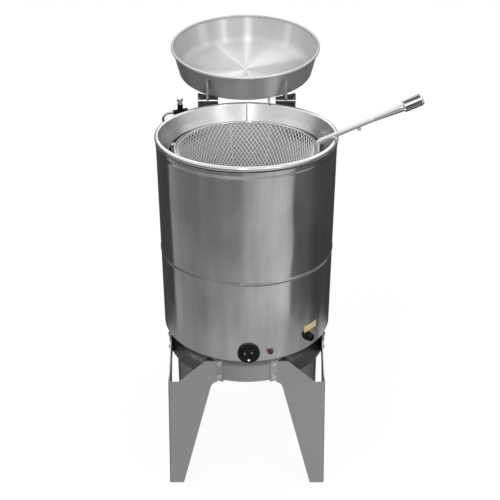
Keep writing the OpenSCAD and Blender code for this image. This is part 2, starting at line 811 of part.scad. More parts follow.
// Ball cock body with its pipe socket, round chamber, stem boss and hose nozzle
module drain_cock() color("goldenrod") difference() {
    union() {
        translate([0, 0, cock_end]) cylinder(r = cock_r, h = cock_top - cock_end);
        translate([0, 0, nozzle_end]) cylinder(r = cock_bore/2 + 4, h = cock_end - nozzle_end + 1);
        translate([0, 0, cock_z]) rotate([90, 0, 0]) cylinder(d = stem_d + 10, h = stem_out);
    }
    translate([0, 0, cock_z]) sphere(r = ball_r + rest_gap);
    translate([0, 0, nozzle_end - 1]) cylinder(d = cock_bore, h = cock_top - nozzle_end + 2);
    translate([0, 0, cock_top - socket_depth - seat]) cylinder(r = drain_r + seat, h = 2*socket_depth);
    translate([0, 0, cock_z]) rotate([90, 0, 0]) cylinder(d = stem_d + 2*run_gap, h = stem_out + 1);
}

// Ball with a through bore, lying across the pipe while the cock is shut
module drain_ball() color("white") translate([0, 0, cock_z]) difference() {
    sphere(r = ball_r);
    rotate([0, 90, 0]) cylinder(d = cock_bore, h = 4*ball_r, center = true);
    translate([0, -ball_r + 2, 0]) rotate([90, 0, 0]) cylinder(d = stem_d, h = ball_r);
}

// Stem of the drain cock with the flat lever on its end
module drain_lever() color("silver") translate([0, 0, cock_z]) {
    lever_y = -stem_out - 1;
    translate([0, -ball_r + 2, 0]) rotate([90, 0, 0])
        cylinder(d = stem_d, h = stem_out + lever_t + 1 - ball_r + 2);
    translate([0, lever_y, 0]) rotate([90, 0, 0]) linear_extrude(lever_t) {
        circle(d = lever_w);
        translate([0, -lever_w/2]) square([lever_l, lever_w]);
    }
}

// Plastic sleeve on the drain lever
module drain_lever_grip() color("firebrick") translate([0, -stem_out - 1, cock_z]) difference() {
    sleeve = 2;
    translate([lever_l*0.4, sleeve, 0]) rotate([90, 0, 0]) linear_extrude(lever_t + 2*sleeve)
        polygon(rounded([
            [0, -lever_w/2 - sleeve, 2],
            [lever_l*0.6 + sleeve, -lever_w/2 - sleeve, 6],
            [lever_l*0.6 + sleeve, lever_w/2 + sleeve, 6],
            [0, lever_w/2 + sleeve, 2]]));
    translate([0, -lever_t - seat, -lever_w/2 - seat])
        cube([lever_l + seat, lever_t + 2*seat, lever_w + 2*seat]);
}

// Brackets in the oil well that the basket's ring rests on
module basket_rests() color("silver") {
    bar = 3;
    leg_drop = 22;
    intersection() {
        for (a = [0:120:240]) rotate([0, 0, a + rest_turn])
            translate([well_r - rest_len, 8, ring_z - ring_d/2]) rotate([90, 0, 0])
                linear_extrude(16) polygon([
                    [0, -rest_gap],
                    [rest_len + 2, -rest_gap],
                    [rest_len + 2, -leg_drop],
                    [rest_len - bar, -leg_drop],
                    [rest_len - bar, -bar - rest_gap],
                    [0, -bar - rest_gap]]);
        translate([0, 0, tank_floor]) cylinder(r = well_r - seat, h = body_h, $fn = 720);
    }
}

// Top ring of the basket
module basket_ring() color("white")
    translate([0, 0, ring_z]) rotate_extrude() translate([ring_r, 0]) circle(d = ring_d);

// Wall of the basket: two layers of straight wires that lean opposite ways and cross in diamonds
module basket_wires() color("lightgray")
    for (lean = [-1, 1], i = [0:wire_count - 1]) {
        step = lean*wire_step/2;
        a = 360*i/wire_count;
        b = a + lean*wire_twist;
        top_r = wire_top_r - wire_step/2 + step;
        low_r = hoop_r + step;
        wire([top_r*cos(a), top_r*sin(a), ring_z], [low_r*cos(b), low_r*sin(b), wire_end_z], wire_d);
    }

// Upright ribs outside the wall, from under the ring down to the bottom hoop
module basket_ribs() color("white")
    for (i = [0:rib_count - 1]) {
        a = rib_turn + 360*i/rib_count;
        wire([rib_top_r*cos(a), rib_top_r*sin(a), rib_top_z], [rib_low_r*cos(a), rib_low_r*sin(a), basket_end],
            rib_d);
    }

// Bottom of the basket: a round hoop and a flat square net inside it
module basket_bottom() color("lightgray") translate([0, 0, basket_end]) {
    reach = floor(net_r/net_pitch);
    hole = net_pitch - wire_d;
    rotate_extrude() translate([hoop_r, 0]) circle(d = hoop_d);
    translate([0, 0, -net_t/2]) linear_extrude(net_t) rotate(45) difference() {
        circle(r = net_r + 2*seat);
        for (i = [-reach:reach], j = [-reach:reach])
            if (norm([abs(i) + 0.5, abs(j) + 0.5])*net_pitch < net_r - wire_d)
                translate([i*net_pitch, j*net_pitch]) square(hole, center = true);
    }
}

// Handle of the basket: a tube that rises from the ring, bends in a sleeve and runs out to a slim end
module basket_handle() color("white")
    translate([handle_foot_x, -handle_y, ring_z + ring_d/2 + seat]) {
        sleeve = 0.6;
        end = handle_l + ferrule_l + grip_bore_l - 1;
        bent_rod([[handle_rise - handle_bend, handle_bend, 90 - handle_slope, 0]], handle_d);
        at_handle(0) rotate_extrude() polygon([
            [0, -1],
            [handle_d/2 + sleeve, -1],
            [handle_d/2 + sleeve, 5],
            [handle_d/2, 5 + sleeve],
            [handle_d/2, handle_l],
            [core_d/2, handle_l],
            [core_d/2, end],
            [0, end]]);
    }

// Places its children on the handle's axis at a length past its bend, pointing towards the grip
module at_handle(along) {
    turn = 90 - handle_slope;
    translate([handle_bend*(1 - cos(turn)), 0, handle_rise - handle_bend + handle_bend*sin(turn)])
        rotate([0, turn, 0]) translate([0, 0, along]) children();
}

// Lug under the handle that hooks the raised basket on the rim
module basket_handle_lug() color("white")
    translate([handle_foot_x, -handle_y, ring_z + ring_d/2 + seat]) at_handle(handle_l*0.66) difference() {
        translate([0, -3, 0]) cube([handle_d/2 + 6, 6, 8]);
        translate([0, 0, -1]) cylinder(d = handle_d + 2*seat, h = 12);
    }

// Flared ferrule between the handle tube and the grip
module basket_ferrule() color("white")
    translate([handle_foot_x, -handle_y, ring_z + ring_d/2 + seat]) at_handle(handle_l + seat)
        rotate_extrude() polygon([
            [core_d/2 + seat, 0],
            [handle_d/2 + 0.3, 0],
            [ferrule_d/2, ferrule_l - 6],
            [ferrule_d/2, ferrule_l - 2*seat],
            [core_d/2 + seat, ferrule_l - 2*seat]]);

// Grip: a fluted sleeve on the end of the handle
module basket_grip() color("dimgray")
    translate([handle_foot_x, -handle_y, ring_z + ring_d/2 + seat])
        at_handle(handle_l + ferrule_l) difference() {
            rotate_extrude() polygon(concat(
                [[0, 0], [grip_d/2 - 2, 0]],
                arc([grip_d/2 - 2, 2], 2, -90, 0, 5),
                arc([grip_d/2 - 5, grip_l - 4], 4, 0, 90, 6),
                [[0, grip_l]]));
            for (a = [0:360/grip_flutes:359])
                rotate([0, 0, a + 180/grip_flutes]) translate([grip_d/2 + flute_out, 0, -1])
                    cylinder(d = flute_d, h = grip_l + 2);
            translate([0, 0, -1]) cylinder(d = core_d + 2*seat, h = grip_bore_l + 1);
        }

// Half outline of the basin at one side of its sheet
function basin_side(inset) =
    let (tilt = atan(basin_flare),
         r = basin_round - inset,
         c = [basin_foot_r + basin_flare*basin_round - basin_round/cos(tilt), basin_round],
         top = [basin_top_r - inset/cos(tilt), basin_h - basin_lip_d/2])
    concat(arc(c, r, -90, -tilt, 8), [top]);

// Draining basin: a shallow spun pan with a rolled lip
module basin() color("white") difference() {
    at_basin() {
        outer = basin_side(0);
        inner = basin_side(basin_wall);
        rotate_extrude() polygon(concat(
            [[0, 0]],
            outer,
            [for (i = [len(inner) - 1:-1:0]) inner[i]],
            [[0, basin_wall]]));
        rotate_extrude() translate([basin_top_r, basin_h - basin_lip_d/2]) circle(d = basin_lip_d);
    }
    at_basin() translate([spout_x, -spout_y + 60, spout_h]) rotate([90, 0, 0])
        cylinder(d = spout_d + 2*seat, h = 60);
}

// Drip spout that leads from the basin's low front back into the tank
module basin_spout() color("silver") at_basin() {
    wall_y = sqrt(pow(basin_foot_r, 2) - spout_x*spout_x) - 5;
    translate([spout_x, -wall_y, spout_h]) rotate([90, 0, 0])
        bent_rod([[spout_y - wall_y - spout_bend, spout_bend, 90, -90],
                  [spout_h + spout_end - spout_bend, 0, 0, 0]], spout_d, spout_d - 2);
}

// Rectangular tubes across the back of the jacket that carry the rack
module rack_bars() color("silver") for (z = bar_zs) translate([0, bar_y, z]) difference() {
    half = rod_x + upright_w/2;
    wall = 1.5;
    translate([-half, 0, -bar_h/2]) cube([2*half, bar_t, bar_h]);
    translate([-half - 1, wall, wall - bar_h/2]) cube([2*half + 2, bar_t - 2*wall, bar_h - 2*wall]);
    for (s = [-1, 1])
        translate([0, -1, s*bar_screw_pitch/2]) rotate([-90, 0, 0])
            cylinder(d = screw_d + hole_gap, h = bar_t + 2);
}

// Rack upright: a lipped channel open to the front, cut slanting under the basin
module rack_upright(side) color("gray") difference() {
    translate([side*rod_x, upright_y, rim_z - upright_l]) linear_extrude(upright_l + upright_high - rim_z)
        difference() {
            translate([-upright_w/2, 0]) square([upright_w, upright_depth]);
            translate([upright_t - upright_w/2, upright_t])
                square([upright_w - 2*upright_t, upright_depth - 2*upright_t]);
            translate([upright_lip - upright_w/2, -1]) square([upright_w - 2*upright_lip, upright_t + 2]);
        }
    translate([0, upright_y - 1, 0]) rotate([-90, 0, 0]) linear_extrude(upright_depth + 2) polygon([
        [side*(upright_in - 1), -upright_low],
        [side*(upright_in + upright_w + 1), -upright_high],
        [side*(upright_in + upright_w + 1), -upright_high - 40],
        [side*(upright_in - 1), -upright_high - 40]]);
    translate([side*rod_x, rod_slope_y, rod_z]) rod_path_hole();
}

// Round passage for a sloping rod through the web of its upright
module rod_path_hole() {
    rotate([basin_tilt - 90, 0, 0]) translate([0, 0, -upright_depth])
        cylinder(d = rod_d + 2*hole_gap, h = 4*upright_depth);
}

module rack_upright_left() rack_upright(-1);
module rack_upright_right() rack_upright(1);

// Gusset plates behind the uprights that carry the sloping rods
module rack_arms() color("gray") for (side = [-1, 1]) {
    top_drop = rod_drop + (rod_d/2 + seat)/cos(basin_tilt);
    near = floor_under(arm_y) - top_drop;
    far = floor_under(arm_y + arm_l) - top_drop;
    translate([side*rod_x - arm_t/2, 0, 0]) rotate([90, 0, 90]) linear_extrude(arm_t) polygon([
        [arm_y, near],
        [arm_y + arm_l, far],
        [arm_y + arm_l, far - arm_tip],
        [arm_y + arm_foot, near - arm_drop],
        [arm_y, near - arm_drop]]);
}

// Round rods that stop the basin in front, welded to straight rods that slope back under its floor
module rack_rods() color("white") for (side = [-1, 1]) {
    knee = [side*rod_x, rod_slope_y, rod_z];
    translate([side*rod_x, stop_y, rim_z + stop_h]) rotate([180, 0, -90])
        bent_rod([[rim_z + stop_h - rod_z - rod_bend, rod_bend, 90, 180],
                  [rod_slope_y - stop_y - rod_bend, 0, 0, 0]], rod_d);
    translate(knee) sphere(d = rod_d + 2*knee_proud);
    wire(knee, knee + rod_slope_l*[0, cos(basin_tilt), sin(basin_tilt)], rod_d);
}

// Short rods across the front of the uprights, under the sloping rods
module rack_cross_rods() color("white") for (side = [-1, 1])
    translate([side*rod_x - upright_w/2, cross_y, cross_z]) rotate([0, 90, 0])
        cylinder(d = rod_d, h = upright_w);

// Screws that fasten the cross bars to the back of the jacket
module rack_screws() color("white") for (z = bar_zs, s = [-1, 1])
    radial(rear, 0, z + s*bar_screw_pitch/2) {
        head_r = bar_y + bar_t + seat;
        start = jacket_in_r - screw_reach;
        translate([0, 0, start]) cylinder(d = screw_d, h = head_r + screw_head_h/2 - start);
        translate([0, 0, head_r]) cylinder(d = screw_d*1.8, h = screw_head_h, $fn = 6);
    }

// Nuts of the rack screws, inside the jacket
module rack_nuts() color("silver") for (z = bar_zs, s = [-1, 1])
    radial(rear, sqrt(pow(jacket_in_r, 2) - pow(screw_d, 2)) - screw_nut_h - seat, z + s*bar_screw_pitch/2)
        hex_nut(screw_d*1.8, screw_d + 0.1, screw_nut_h);

// Places its children at the centre of the tap's bar, with +X along the bar towards the spout
module at_tap() {
    translate([tap_r*cos(tap_turn), tap_r*sin(tap_turn), tap_z]) rotate([0, 0, 180 + tap_bar_turn])
        children();
}

// Pipe from the oil well out through the jacket and up to the tap
module tap_pipe() color("silver")
    radial(tap_turn, well_r + 0.2, tap_inlet_z) {
        run = tap_r - well_r - 0.2 - tap_pipe_bend;
        rise = tap_z - tap_inlet_z - tap_pipe_bend - tap_d/2 - 1;
        bent_rod([[run, tap_pipe_bend, 90, 180], [rise, 0, 0, 0]], tap_pipe_d, tap_pipe_d - 4);
    }

// Nut that seals the tap's pipe against the jacket
module tap_nut() color("silver") radial(tap_turn, body_r + seat, tap_inlet_z)
    hex_nut(tap_nut_d, tap_pipe_d + 0.1, 6);

// Tap body: a level bar with a pipe socket below and a spindle neck above
module tap_body() color("dimgray") at_tap() difference() {
    union() {
        translate([-tap_l/2, 0, 0]) rotate([0, 90, 0]) cylinder(d = tap_d, h = tap_l);
        translate([0, 0, -tap_d/2 - 7]) cylinder(d = tap_socket_d, h = 10);
        cylinder(d = tap_neck_d, h = tap_neck_h);
    }
    translate([0, 0, -tap_d/2 - 8]) cylinder(d = tap_pipe_d + 2*seat, h = 7 + seat);
    translate([0, 0, tap_neck_h - 10]) cylinder(d = tap_stem_d + 2*run_gap, h = 20);
    translate([tap_l/2 - 8, 0, 0]) rotate([0, 90, 0]) cylinder(d = tap_spout_d + 2*seat, h = 20);
}

// Tap handle: spindle with a two-eared wing on top
module tap_handle() color("lightgray") at_tap() translate([0, 0, tap_neck_h]) {
    translate([0, 0, -9.5]) cylinder(d = tap_stem_d, h = 11);
    translate([0, 0, 0.5]) cylinder(d = tap_neck_d - 2, h = 4);
    translate([0, 2, 4]) rotate([90, 0, 0]) linear_extrude(4) polygon(rounded([
        [-4, 0, 0],
        [4, 0, 0],
        [9, 9, 2.5],
        [4, 10, 2],
        [0, 4, 2],
        [-4, 10, 2],
        [-9, 9, 2.5]]));
}

// Bent spout tube of the tap
module tap_spout() color("lightgray") at_tap() translate([tap_l/2 - 7.5, 0, 0]) rotate([0, 90, 0])
    bent_rod([[tap_spout_l, 12, 90, 0], [6, 0, 0, 0]], tap_spout_d, tap_spout_d - 2);

outer_shell();
rim_ring();
tank();
insulation();
base_plate();
collar();
leg_front_left();
leg_front_right();
leg_rear_left();
leg_rear_right();
leg_bolts();
leg_nuts();
thermostat_body();
thermostat_nut();
thermostat_bezel();
thermostat_shaft();
thermostat_knob();
sensor_bulb();
sensor_capillary();
lamp_housing();
lamp_lens();
terminal_block();
cable_gland();
gland_nut();
heating_element();
element_nuts();
drain_pipe();
drain_cock();
drain_ball();
drain_lever();
drain_lever_grip();
basket_rests();
basket_ring();
basket_wires();
basket_ribs();
basket_bottom();
basket_handle();
basket_handle_lug();
basket_ferrule();
basket_grip();
basin();
basin_spout();
rack_bars();
rack_upright_left();
rack_upright_right();
rack_arms();
rack_rods();
rack_cross_rods();
rack_screws();
rack_nuts();
tap_pipe();
tap_nut();
tap_body();
tap_handle();
tap_spout();
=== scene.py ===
"""Looks of a round floor-standing electric fryer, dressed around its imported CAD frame.

Every length is in metres in the frame's own axes: +Z up, the front towards -Y, the tank axis on Z.
"""

import json
import logging
import math
from dataclasses import dataclass, field, replace
from enum import Enum
from typing import Iterable, Optional, Sequence

import bpy
import numpy as np
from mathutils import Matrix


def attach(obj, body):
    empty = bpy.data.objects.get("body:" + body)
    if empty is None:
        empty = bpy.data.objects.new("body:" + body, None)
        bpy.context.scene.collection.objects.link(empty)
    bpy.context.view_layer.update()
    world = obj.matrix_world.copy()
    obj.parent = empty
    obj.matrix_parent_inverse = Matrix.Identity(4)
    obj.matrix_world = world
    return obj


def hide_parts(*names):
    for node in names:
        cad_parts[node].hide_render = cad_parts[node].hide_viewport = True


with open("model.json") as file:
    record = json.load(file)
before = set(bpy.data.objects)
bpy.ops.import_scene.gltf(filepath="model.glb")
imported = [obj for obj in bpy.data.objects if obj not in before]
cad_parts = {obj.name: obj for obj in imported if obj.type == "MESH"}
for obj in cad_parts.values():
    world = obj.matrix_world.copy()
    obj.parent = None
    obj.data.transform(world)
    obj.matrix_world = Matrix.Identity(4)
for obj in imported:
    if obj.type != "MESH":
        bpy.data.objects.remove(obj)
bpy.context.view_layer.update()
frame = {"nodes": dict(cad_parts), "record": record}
LOG = logging.getLogger("fryer")
MM = 0.001
TURN = 2.0*math.pi
TURN_DEG = 360.0
CREASE_DEG = 32.0
ROUND_CREASE_DEG = 80.0
WHITE = (1.0, 1.0, 1.0, 1.0)


class Space(Enum):
    """Coordinates that a finish reads its pattern from."""

    OBJECT = "Object"
    SURFACE = "UV"


class Body(Enum):
    """Bodies of the frame that pieces ride on."""

    FRAME = "frame"
    KNOB = "knob"
    BASKET = "basket"
    BASIN = "basin_pan"


def even(value: float) -> tuple:
    """Three equal values: a grey, or a pattern that is as fine every way."""
    return (value, value, value)


@dataclass(frozen=True)
class ToneRow:
    """Grey tones round a turn at one level: pairs of an angle in degrees and a tone."""

    level: float
    stops: tuple


# Shader nodes and finishes

class NodeTree:
    """Small helper that adds and links shader nodes in one tree."""

    MIX_FROM = 6
    MIX_TO = 7
    MIX_RESULT = 2

    def __init__(self, tree: bpy.types.NodeTree) -> None:
        """Keeps the tree and empties it."""
        self.tree = tree
        tree.nodes.clear()

    def add(self, kind: str, inputs: Optional[dict] = None, **settings: object) -> bpy.types.Node:
        """Adds a node, sets its properties, and sets or links its inputs.

        Args:
            kind: Blender's name of the node type.
            inputs: Socket name or number to a constant, or to an output socket that is linked.
            settings: Properties of the node.

        Returns:
            The new node.
        """
        node = self.tree.nodes.new(kind)
        for key, value in settings.items():
            setattr(node, key, value)
        for key, value in (inputs or {}).items():
            if isinstance(value, bpy.types.NodeSocket):
                self.tree.links.new(value, node.inputs[key])
            else:
                node.inputs[key].default_value = value
        return node

    def math(self, operation: str, a: object, b: object = 0.0) -> bpy.types.NodeSocket:
        """Returns the result socket of a Math node on two values or sockets."""
        return self.add("ShaderNodeMath", {0: a, 1: b}, operation=operation).outputs[0]

    def mix(self, factor: object, start: object, end: object, blend: str = "MIX") -> bpy.types.NodeSocket:
        """Blends two colours.

        Args:
            factor: Share of the blend, as a value or a socket.
            start: First colour or socket.
            end: Second colour or socket.
            blend: Blender's name of the way to blend.

        Returns:
            The colour socket.
        """
        inputs = {"Factor": factor, self.MIX_FROM: start, self.MIX_TO: end}
        node = self.add("ShaderNodeMix", inputs, data_type="RGBA", blend_type=blend)
        return node.outputs[self.MIX_RESULT]

    def spread(self, value: bpy.types.NodeSocket, low: float, high: float,
               start: float = 0.0, stop: float = 1.0) -> bpy.types.NodeSocket:
        """Maps a value evenly from one range to another.

        Args:
            value: Value socket.
            low: Result at the start.
            high: Result at the stop.
            start: Value that gives the low result.
            stop: Value that gives the high result.

        Returns:
            The mapped value's socket.
        """
        node = self.add("ShaderNodeMapRange", {"Value": value, "From Min": start, "From Max": stop,
                                               "To Min": low, "To Max": high})
        return node.outputs["Result"]

    def noise(self, place: bpy.types.NodeSocket, stretch: Sequence[float], detail: float = 3.0,
              rough: float = 0.55) -> bpy.types.NodeSocket:
        """Makes a noise pattern on coordinates stretched along each axis.

        Args:
            place: Coordinates of the point.
            stretch: Pattern cells per metre along each axis.
            detail: Octaves of the noise.
            rough: How much the finer octaves count.

        Returns:
            The noise value's socket, from 0 to 1.
        """
        mapped = self.add("ShaderNodeMapping", {"Vector": place, "Scale": tuple(stretch)})
        node = self.add("ShaderNodeTexNoise", {"Vector": mapped.outputs[0], "Scale": 1.0,
                                               "Detail": detail, "Roughness": rough})
        return node.outputs["Fac"]

    def bump(self, height: bpy.types.NodeSocket, depth: float,
             normal: Optional[bpy.types.NodeSocket] = None) -> bpy.types.NodeSocket:
        """Tilts the normal by a height pattern.

        Args:
            height: Height pattern, from 0 to 1.
            depth: Depth of the relief.
            normal: Normal that is tilted, if it isn't the plain one.

        Returns:
            The tilted normal's socket.
        """
        inputs = {"Height": height, "Distance": depth, "Strength": 1.0}
        if normal is not None:
            inputs["Normal"] = normal
        return self.add("ShaderNodeBump", inputs).outputs["Normal"]

    def ramp(self, value: bpy.types.NodeSocket, stops: Sequence[tuple]) -> bpy.types.NodeSocket:
        """Looks up a colour ramp.

        Args:
            value: Position on the ramp, from 0 to 1.
            stops: Position and colour of each stop.

        Returns:
            The colour socket.
        """
        node = self.add("ShaderNodeValToRGB", {"Fac": value})
        ramp = node.color_ramp
        ramp.elements[0].position = stops[0][0]
        ramp.elements[0].color = (*stops[0][1], 1.0)
        ramp.elements[1].position = stops[-1][0]
        ramp.elements[1].color = (*stops[-1][1], 1.0)
        for position, colour in stops[1:-1]:
            element = ramp.elements.new(position)
            element.color = (*colour, 1.0)
        return node.outputs["Color"]

    def tone_rows(self, around: bpy.types.NodeSocket, height: bpy.types.NodeSocket,
                  rows: Sequence[ToneRow]) -> bpy.types.NodeSocket:
        """Looks up grey tones round a turn, blended smoothly from row to row.

        Args:
            around: Share of the turn, from 0 to 1.
            height: Value that picks the row.
            rows: Rows of tones, lowest first.

        Returns:
            The colour socket.
        """
        tone = None
        below = 0.0
        for row in rows:
            first = row.stops[0][0]
            ring = self.ramp(around, [((angle - first)/TURN_DEG, even(grey)) for angle, grey in row.stops])
            if tone is None:
                tone = ring
            else:
                span = {"Value": height, "From Min": below, "From Max": row.level}
                rise = self.add("ShaderNodeMapRange", span, interpolation_type="SMOOTHSTEP")
                tone = self.mix(rise.outputs[0], tone, ring)
            below = row.level
        return tone


@dataclass(frozen=True)
class Finish:
    """Surface finish with a grain, a slow cloud of smudges and a fine relief.

    The grain is noise stretched along the working direction. It varies the tone, the roughness and
    the relief. The cloud is slow noise that varies the roughness as handling does. The wave is a slow
    relief, as in thin sheet. Painted light rows are painted reflections and painted shade, light and
    dark sectors round a turned piece, in rows along its outline: a share of the tone at each angle.
    """

    name: str
    colour: tuple
    metallic: float = 1.0
    roughness: float = 0.2
    tone_spread: float = 0.06
    rough_spread: float = 0.06
    grain: tuple = (40.0, 40.0, 900.0)
    grain_depth: float = 0.02*MM
    grain_share: float = 0.6
    grain_rough: float = 0.02
    cloud: float = 9.0
    wave: tuple = even(5.0)
    wave_depth: float = 0.0
    anisotropy: float = 0.0
    groove_turn: float = 0.25
    coat: float = 0.0
    coat_rough: float = 0.08
    specular: float = 0.5
    painted_light_rows: tuple = ()
    painted_light_r: float = 1.0
    space: Space = Space.OBJECT
    noise_range: tuple = (0.3, 0.7)
    tone_range: tuple = (0.32, 0.5, 0.68)

    def tone(self, tree: NodeTree, place: bpy.types.NodeSocket, grain: bpy.types.NodeSocket,
             cloud: bpy.types.NodeSocket) -> bpy.types.NodeSocket:
        """Varies the colour by the grain and the cloud, and multiplies in the painted reflections and
        shade.

        Args:
            tree: Nodes of the material.
            place: Coordinates of the point.
            grain: Grain pattern.
            cloud: Cloud pattern.

        Returns:
            The colour socket.
        """
        low = tuple(c*(1.0 - self.tone_spread) for c in self.colour)
        high = tuple(min(1.0, c*(1.0 + self.tone_spread)) for c in self.colour)
        pattern = tree.math("ADD", tree.math("MULTIPLY", grain, self.grain_share),
                            tree.math("MULTIPLY", cloud, 1.0 - self.grain_share))
        tone = tree.ramp(pattern, tuple(zip(self.tone_range, (low, self.colour, high))))
        if not self.painted_light_rows:
            return tone
        # Painted light and shade: the rows multiply the colour by painted reflections and painted shade at
        # each angle.
        spot = tree.add("ShaderNodeSeparateXYZ", {0: place})
        around = tree.math("DIVIDE", spot.outputs["X"], TURN*self.painted_light_r)
        return tree.mix(1.0, tone, tree.tone_rows(around, spot.outputs["Y"], self.painted_light_rows), "MULTIPLY")

    def material(self) -> bpy.types.Material:
        """Makes the finish a node material, once for each name.

        Returns:
            The material.
        """
        made = bpy.data.materials.get(self.name)
        if made is not None:
            return made
        made = bpy.data.materials.new(self.name)
        made.use_nodes = True
        tree = NodeTree(made.node_tree)
        place = tree.add("ShaderNodeTexCoord").outputs[self.space.value]
        grain = tree.noise(place, self.grain)
        cloud = tree.noise(place, even(self.cloud), detail=4.0)
        smudges = tree.spread(cloud, -self.rough_spread, self.rough_spread, *self.noise_range)
        ground = tree.spread(grain, self.roughness - self.grain_rough, self.roughness + self.grain_rough,
                             *self.noise_range)
        normal = tree.bump(grain, self.grain_depth)
        if self.wave_depth > 0.0:
            normal = tree.bump(tree.noise(place, self.wave, detail=1.0), self.wave_depth, normal)
        inputs = {
            "Base Color": self.tone(tree, place, grain, cloud), "Metallic": self.metallic,
            "Roughness": tree.math("ADD", smudges, ground), "Normal": normal, "Coat Weight": self.coat,
            "Coat Roughness": self.coat_rough, "Anisotropic": self.anisotropy,
            "Anisotropic Rotation": self.groove_turn, "Specular IOR Level": self.specular}
        if self.anisotropy > 0.0 and self.space is Space.SURFACE:
            tangent = tree.add("ShaderNodeTangent", direction_type="UV_MAP", uv_map="UVMap")
            inputs["Tangent"] = tangent.outputs[0]
        shader = tree.add("ShaderNodeBsdfPrincipled", inputs)
        tree.add("ShaderNodeOutputMaterial", {"Surface": shader.outputs[0]})
        return made


# Painted reflections and painted shade round turned pieces: shares of the tone by angle from +X, with the
# front at 270 degrees

PLAIN_ROUND = ((0.0, 1.0), (360.0, 1.0))
# Painted shade: the top of the well dark all round but at the back, for the shaded gap beside the basket.
WELL_SHADE = ((0.0, 0.15), (46.0, 0.15), (70.0, 1.0), (118.0, 1.0), (140.0, 0.15), (360.0, 0.15))
# Painted shade: the collar's wall darker round to the right, lightest at the front.
COLLAR_SIDE_SHADE = ((0.0, 0.62), (190.0, 0.9), (240.0, 1.0), (284.0, 1.0), (308.0, 0.62), (360.0, 0.62))
# Painted shadow under the jacket's hem: the collar's top dark all round, less so at the front.
HEM_SHADOW = ((0.0, 0.2), (230.0, 0.2), (248.0, 0.5), (292.0, 0.5), (310.0, 0.2), (360.0, 0.2))
# Painted reflections: the basin's lip lighter at the front, darker at the sides and back.
LIP_REFLECTION_TONES = ((0.0, 0.55), (60.0, 0.72), (120.0, 0.72), (180.0, 0.55), (215.0, 0.7), (250.0, 1.0),
             (290.0, 1.0), (325.0, 0.7), (360.0, 0.55))
# Painted reflections and painted shade on the basin's outside: dark round the back and sides, light bands
# towards the front.
OUTSIDE_REFLECTION_TONES = ((0.0, 0.36), (180.0, 0.36), (205.0, 0.28), (235.0, 0.32), (252.0, 0.5), (264.0, 0.58),
                 (284.0, 0.56), (290.0, 0.72), (294.0, 0.72), (299.0, 0.48), (318.0, 0.4), (360.0, 0.36))
# Painted reflections: light streaks on the basin's inner wall, with painted shade at its sides.
WALL_REFLECTION_STREAKS = ((0.0, 0.7), (28.0, 0.74), (40.0, 0.8), (46.0, 0.8), (48.5, 1.0), (52.5, 1.0), (55.0, 0.87),
                (86.0, 0.87), (88.0, 1.0), (90.0, 1.0), (92.0, 0.87), (106.0, 0.85), (108.0, 1.0),
                (110.0, 1.0), (112.0, 0.85), (124.0, 0.8), (128.0, 1.0), (133.0, 1.0), (137.0, 0.8),
                (152.0, 0.66), (180.0, 0.58), (360.0, 0.7))
# Painted reflections: light and dark fans on the basin's floor.
FLOOR_REFLECTION_FANS = ((0.0, 0.64), (18.0, 0.66), (26.0, 0.88), (36.0, 0.98), (60.0, 1.0), (70.0, 0.94),
              (84.0, 0.91), (87.0, 1.0), (91.0, 1.0), (94.0, 0.88), (113.0, 0.86), (115.0, 1.0),
              (120.0, 1.0), (123.0, 0.82), (140.0, 0.72), (185.0, 0.68), (200.0, 0.78), (212.0, 0.96),
              (235.0, 1.0), (252.0, 0.92), (268.0, 0.76), (278.0, 0.74), (288.0, 0.9), (298.0, 0.78),
              (315.0, 0.75), (335.0, 0.64), (360.0, 0.64))
# Rows of painted reflections and painted shade for each turned piece, by length along its outline.
WELL_PAINTED_SHADE = (ToneRow(20.0*MM, WELL_SHADE), ToneRow(42.0*MM, PLAIN_ROUND))
COLLAR_PAINTED_SHADE = (ToneRow(42.0*MM, COLLAR_SIDE_SHADE), ToneRow(56.0*MM, HEM_SHADOW))
LIP_PAINTED_REFLECTION = (ToneRow(0.0, LIP_REFLECTION_TONES),)
BASIN_PAINTED_LIGHT = (ToneRow(232.0*MM, OUTSIDE_REFLECTION_TONES), ToneRow(235.0*MM, WALL_REFLECTION_STREAKS),
              ToneRow(280.0*MM, WALL_REFLECTION_STREAKS), ToneRow(312.0*MM, FLOOR_REFLECTION_FANS))

# Turned and drawn sheet

POLISHED = Finish("polished_jacket", (0.6, 0.6, 0.61), roughness=0.09, grain=(26.0, 3.0, 1.0),
                  grain_depth=0.0, wave=(20.0, 5.0, 1.0), wave_depth=1.8*MM, rough_spread=0.02,
                  tone_spread=0.2, space=Space.SURFACE)
SHEET = Finish("plain_sheet", (0.6, 0.6, 0.61), roughness=0.2, grain=(60.0, 60.0, 900.0))
RIM = Finish("polished_rim", (0.8, 0.8, 0.81), roughness=0.14, grain=(40.0, 900.0, 1.0),
             space=Space.SURFACE)
LINER = Finish("tank_liner", even(0.7), roughness=0.28, grain=(25.0, 1500.0, 1.0), rough_spread=0.08,
               wave_depth=0.6*MM, space=Space.SURFACE)
# Painted shade: the well's rows darken its top.
WELL = Finish("tank_well", (0.76, 0.76, 0.75), metallic=0.4, roughness=0.5, grain=(25.0, 1500.0, 1.0),
              rough_spread=0.08, painted_light_rows=WELL_PAINTED_SHADE, painted_light_r=173.5*MM, space=Space.SURFACE)
# Painted shade: a darker grey than the jacket's sheet, with painted shadow under the hem and painted shade
# at the sides from its rows.
COLLAR = Finish("brushed_collar", even(0.52), roughness=0.26, grain=(400.0, 12.0, 1.0), tone_spread=0.08,
                painted_light_rows=COLLAR_PAINTED_SHADE, painted_light_r=192.0*MM, space=Space.SURFACE)
SEAM = Finish("weld_seam", even(0.34), roughness=0.45, grain=even(300.0))
SATIN = Finish("satin_sheet", even(0.6), roughness=0.4, grain=(60.0, 60.0, 1400.0), grain_depth=0.03*MM,
               tone_spread=0.05)
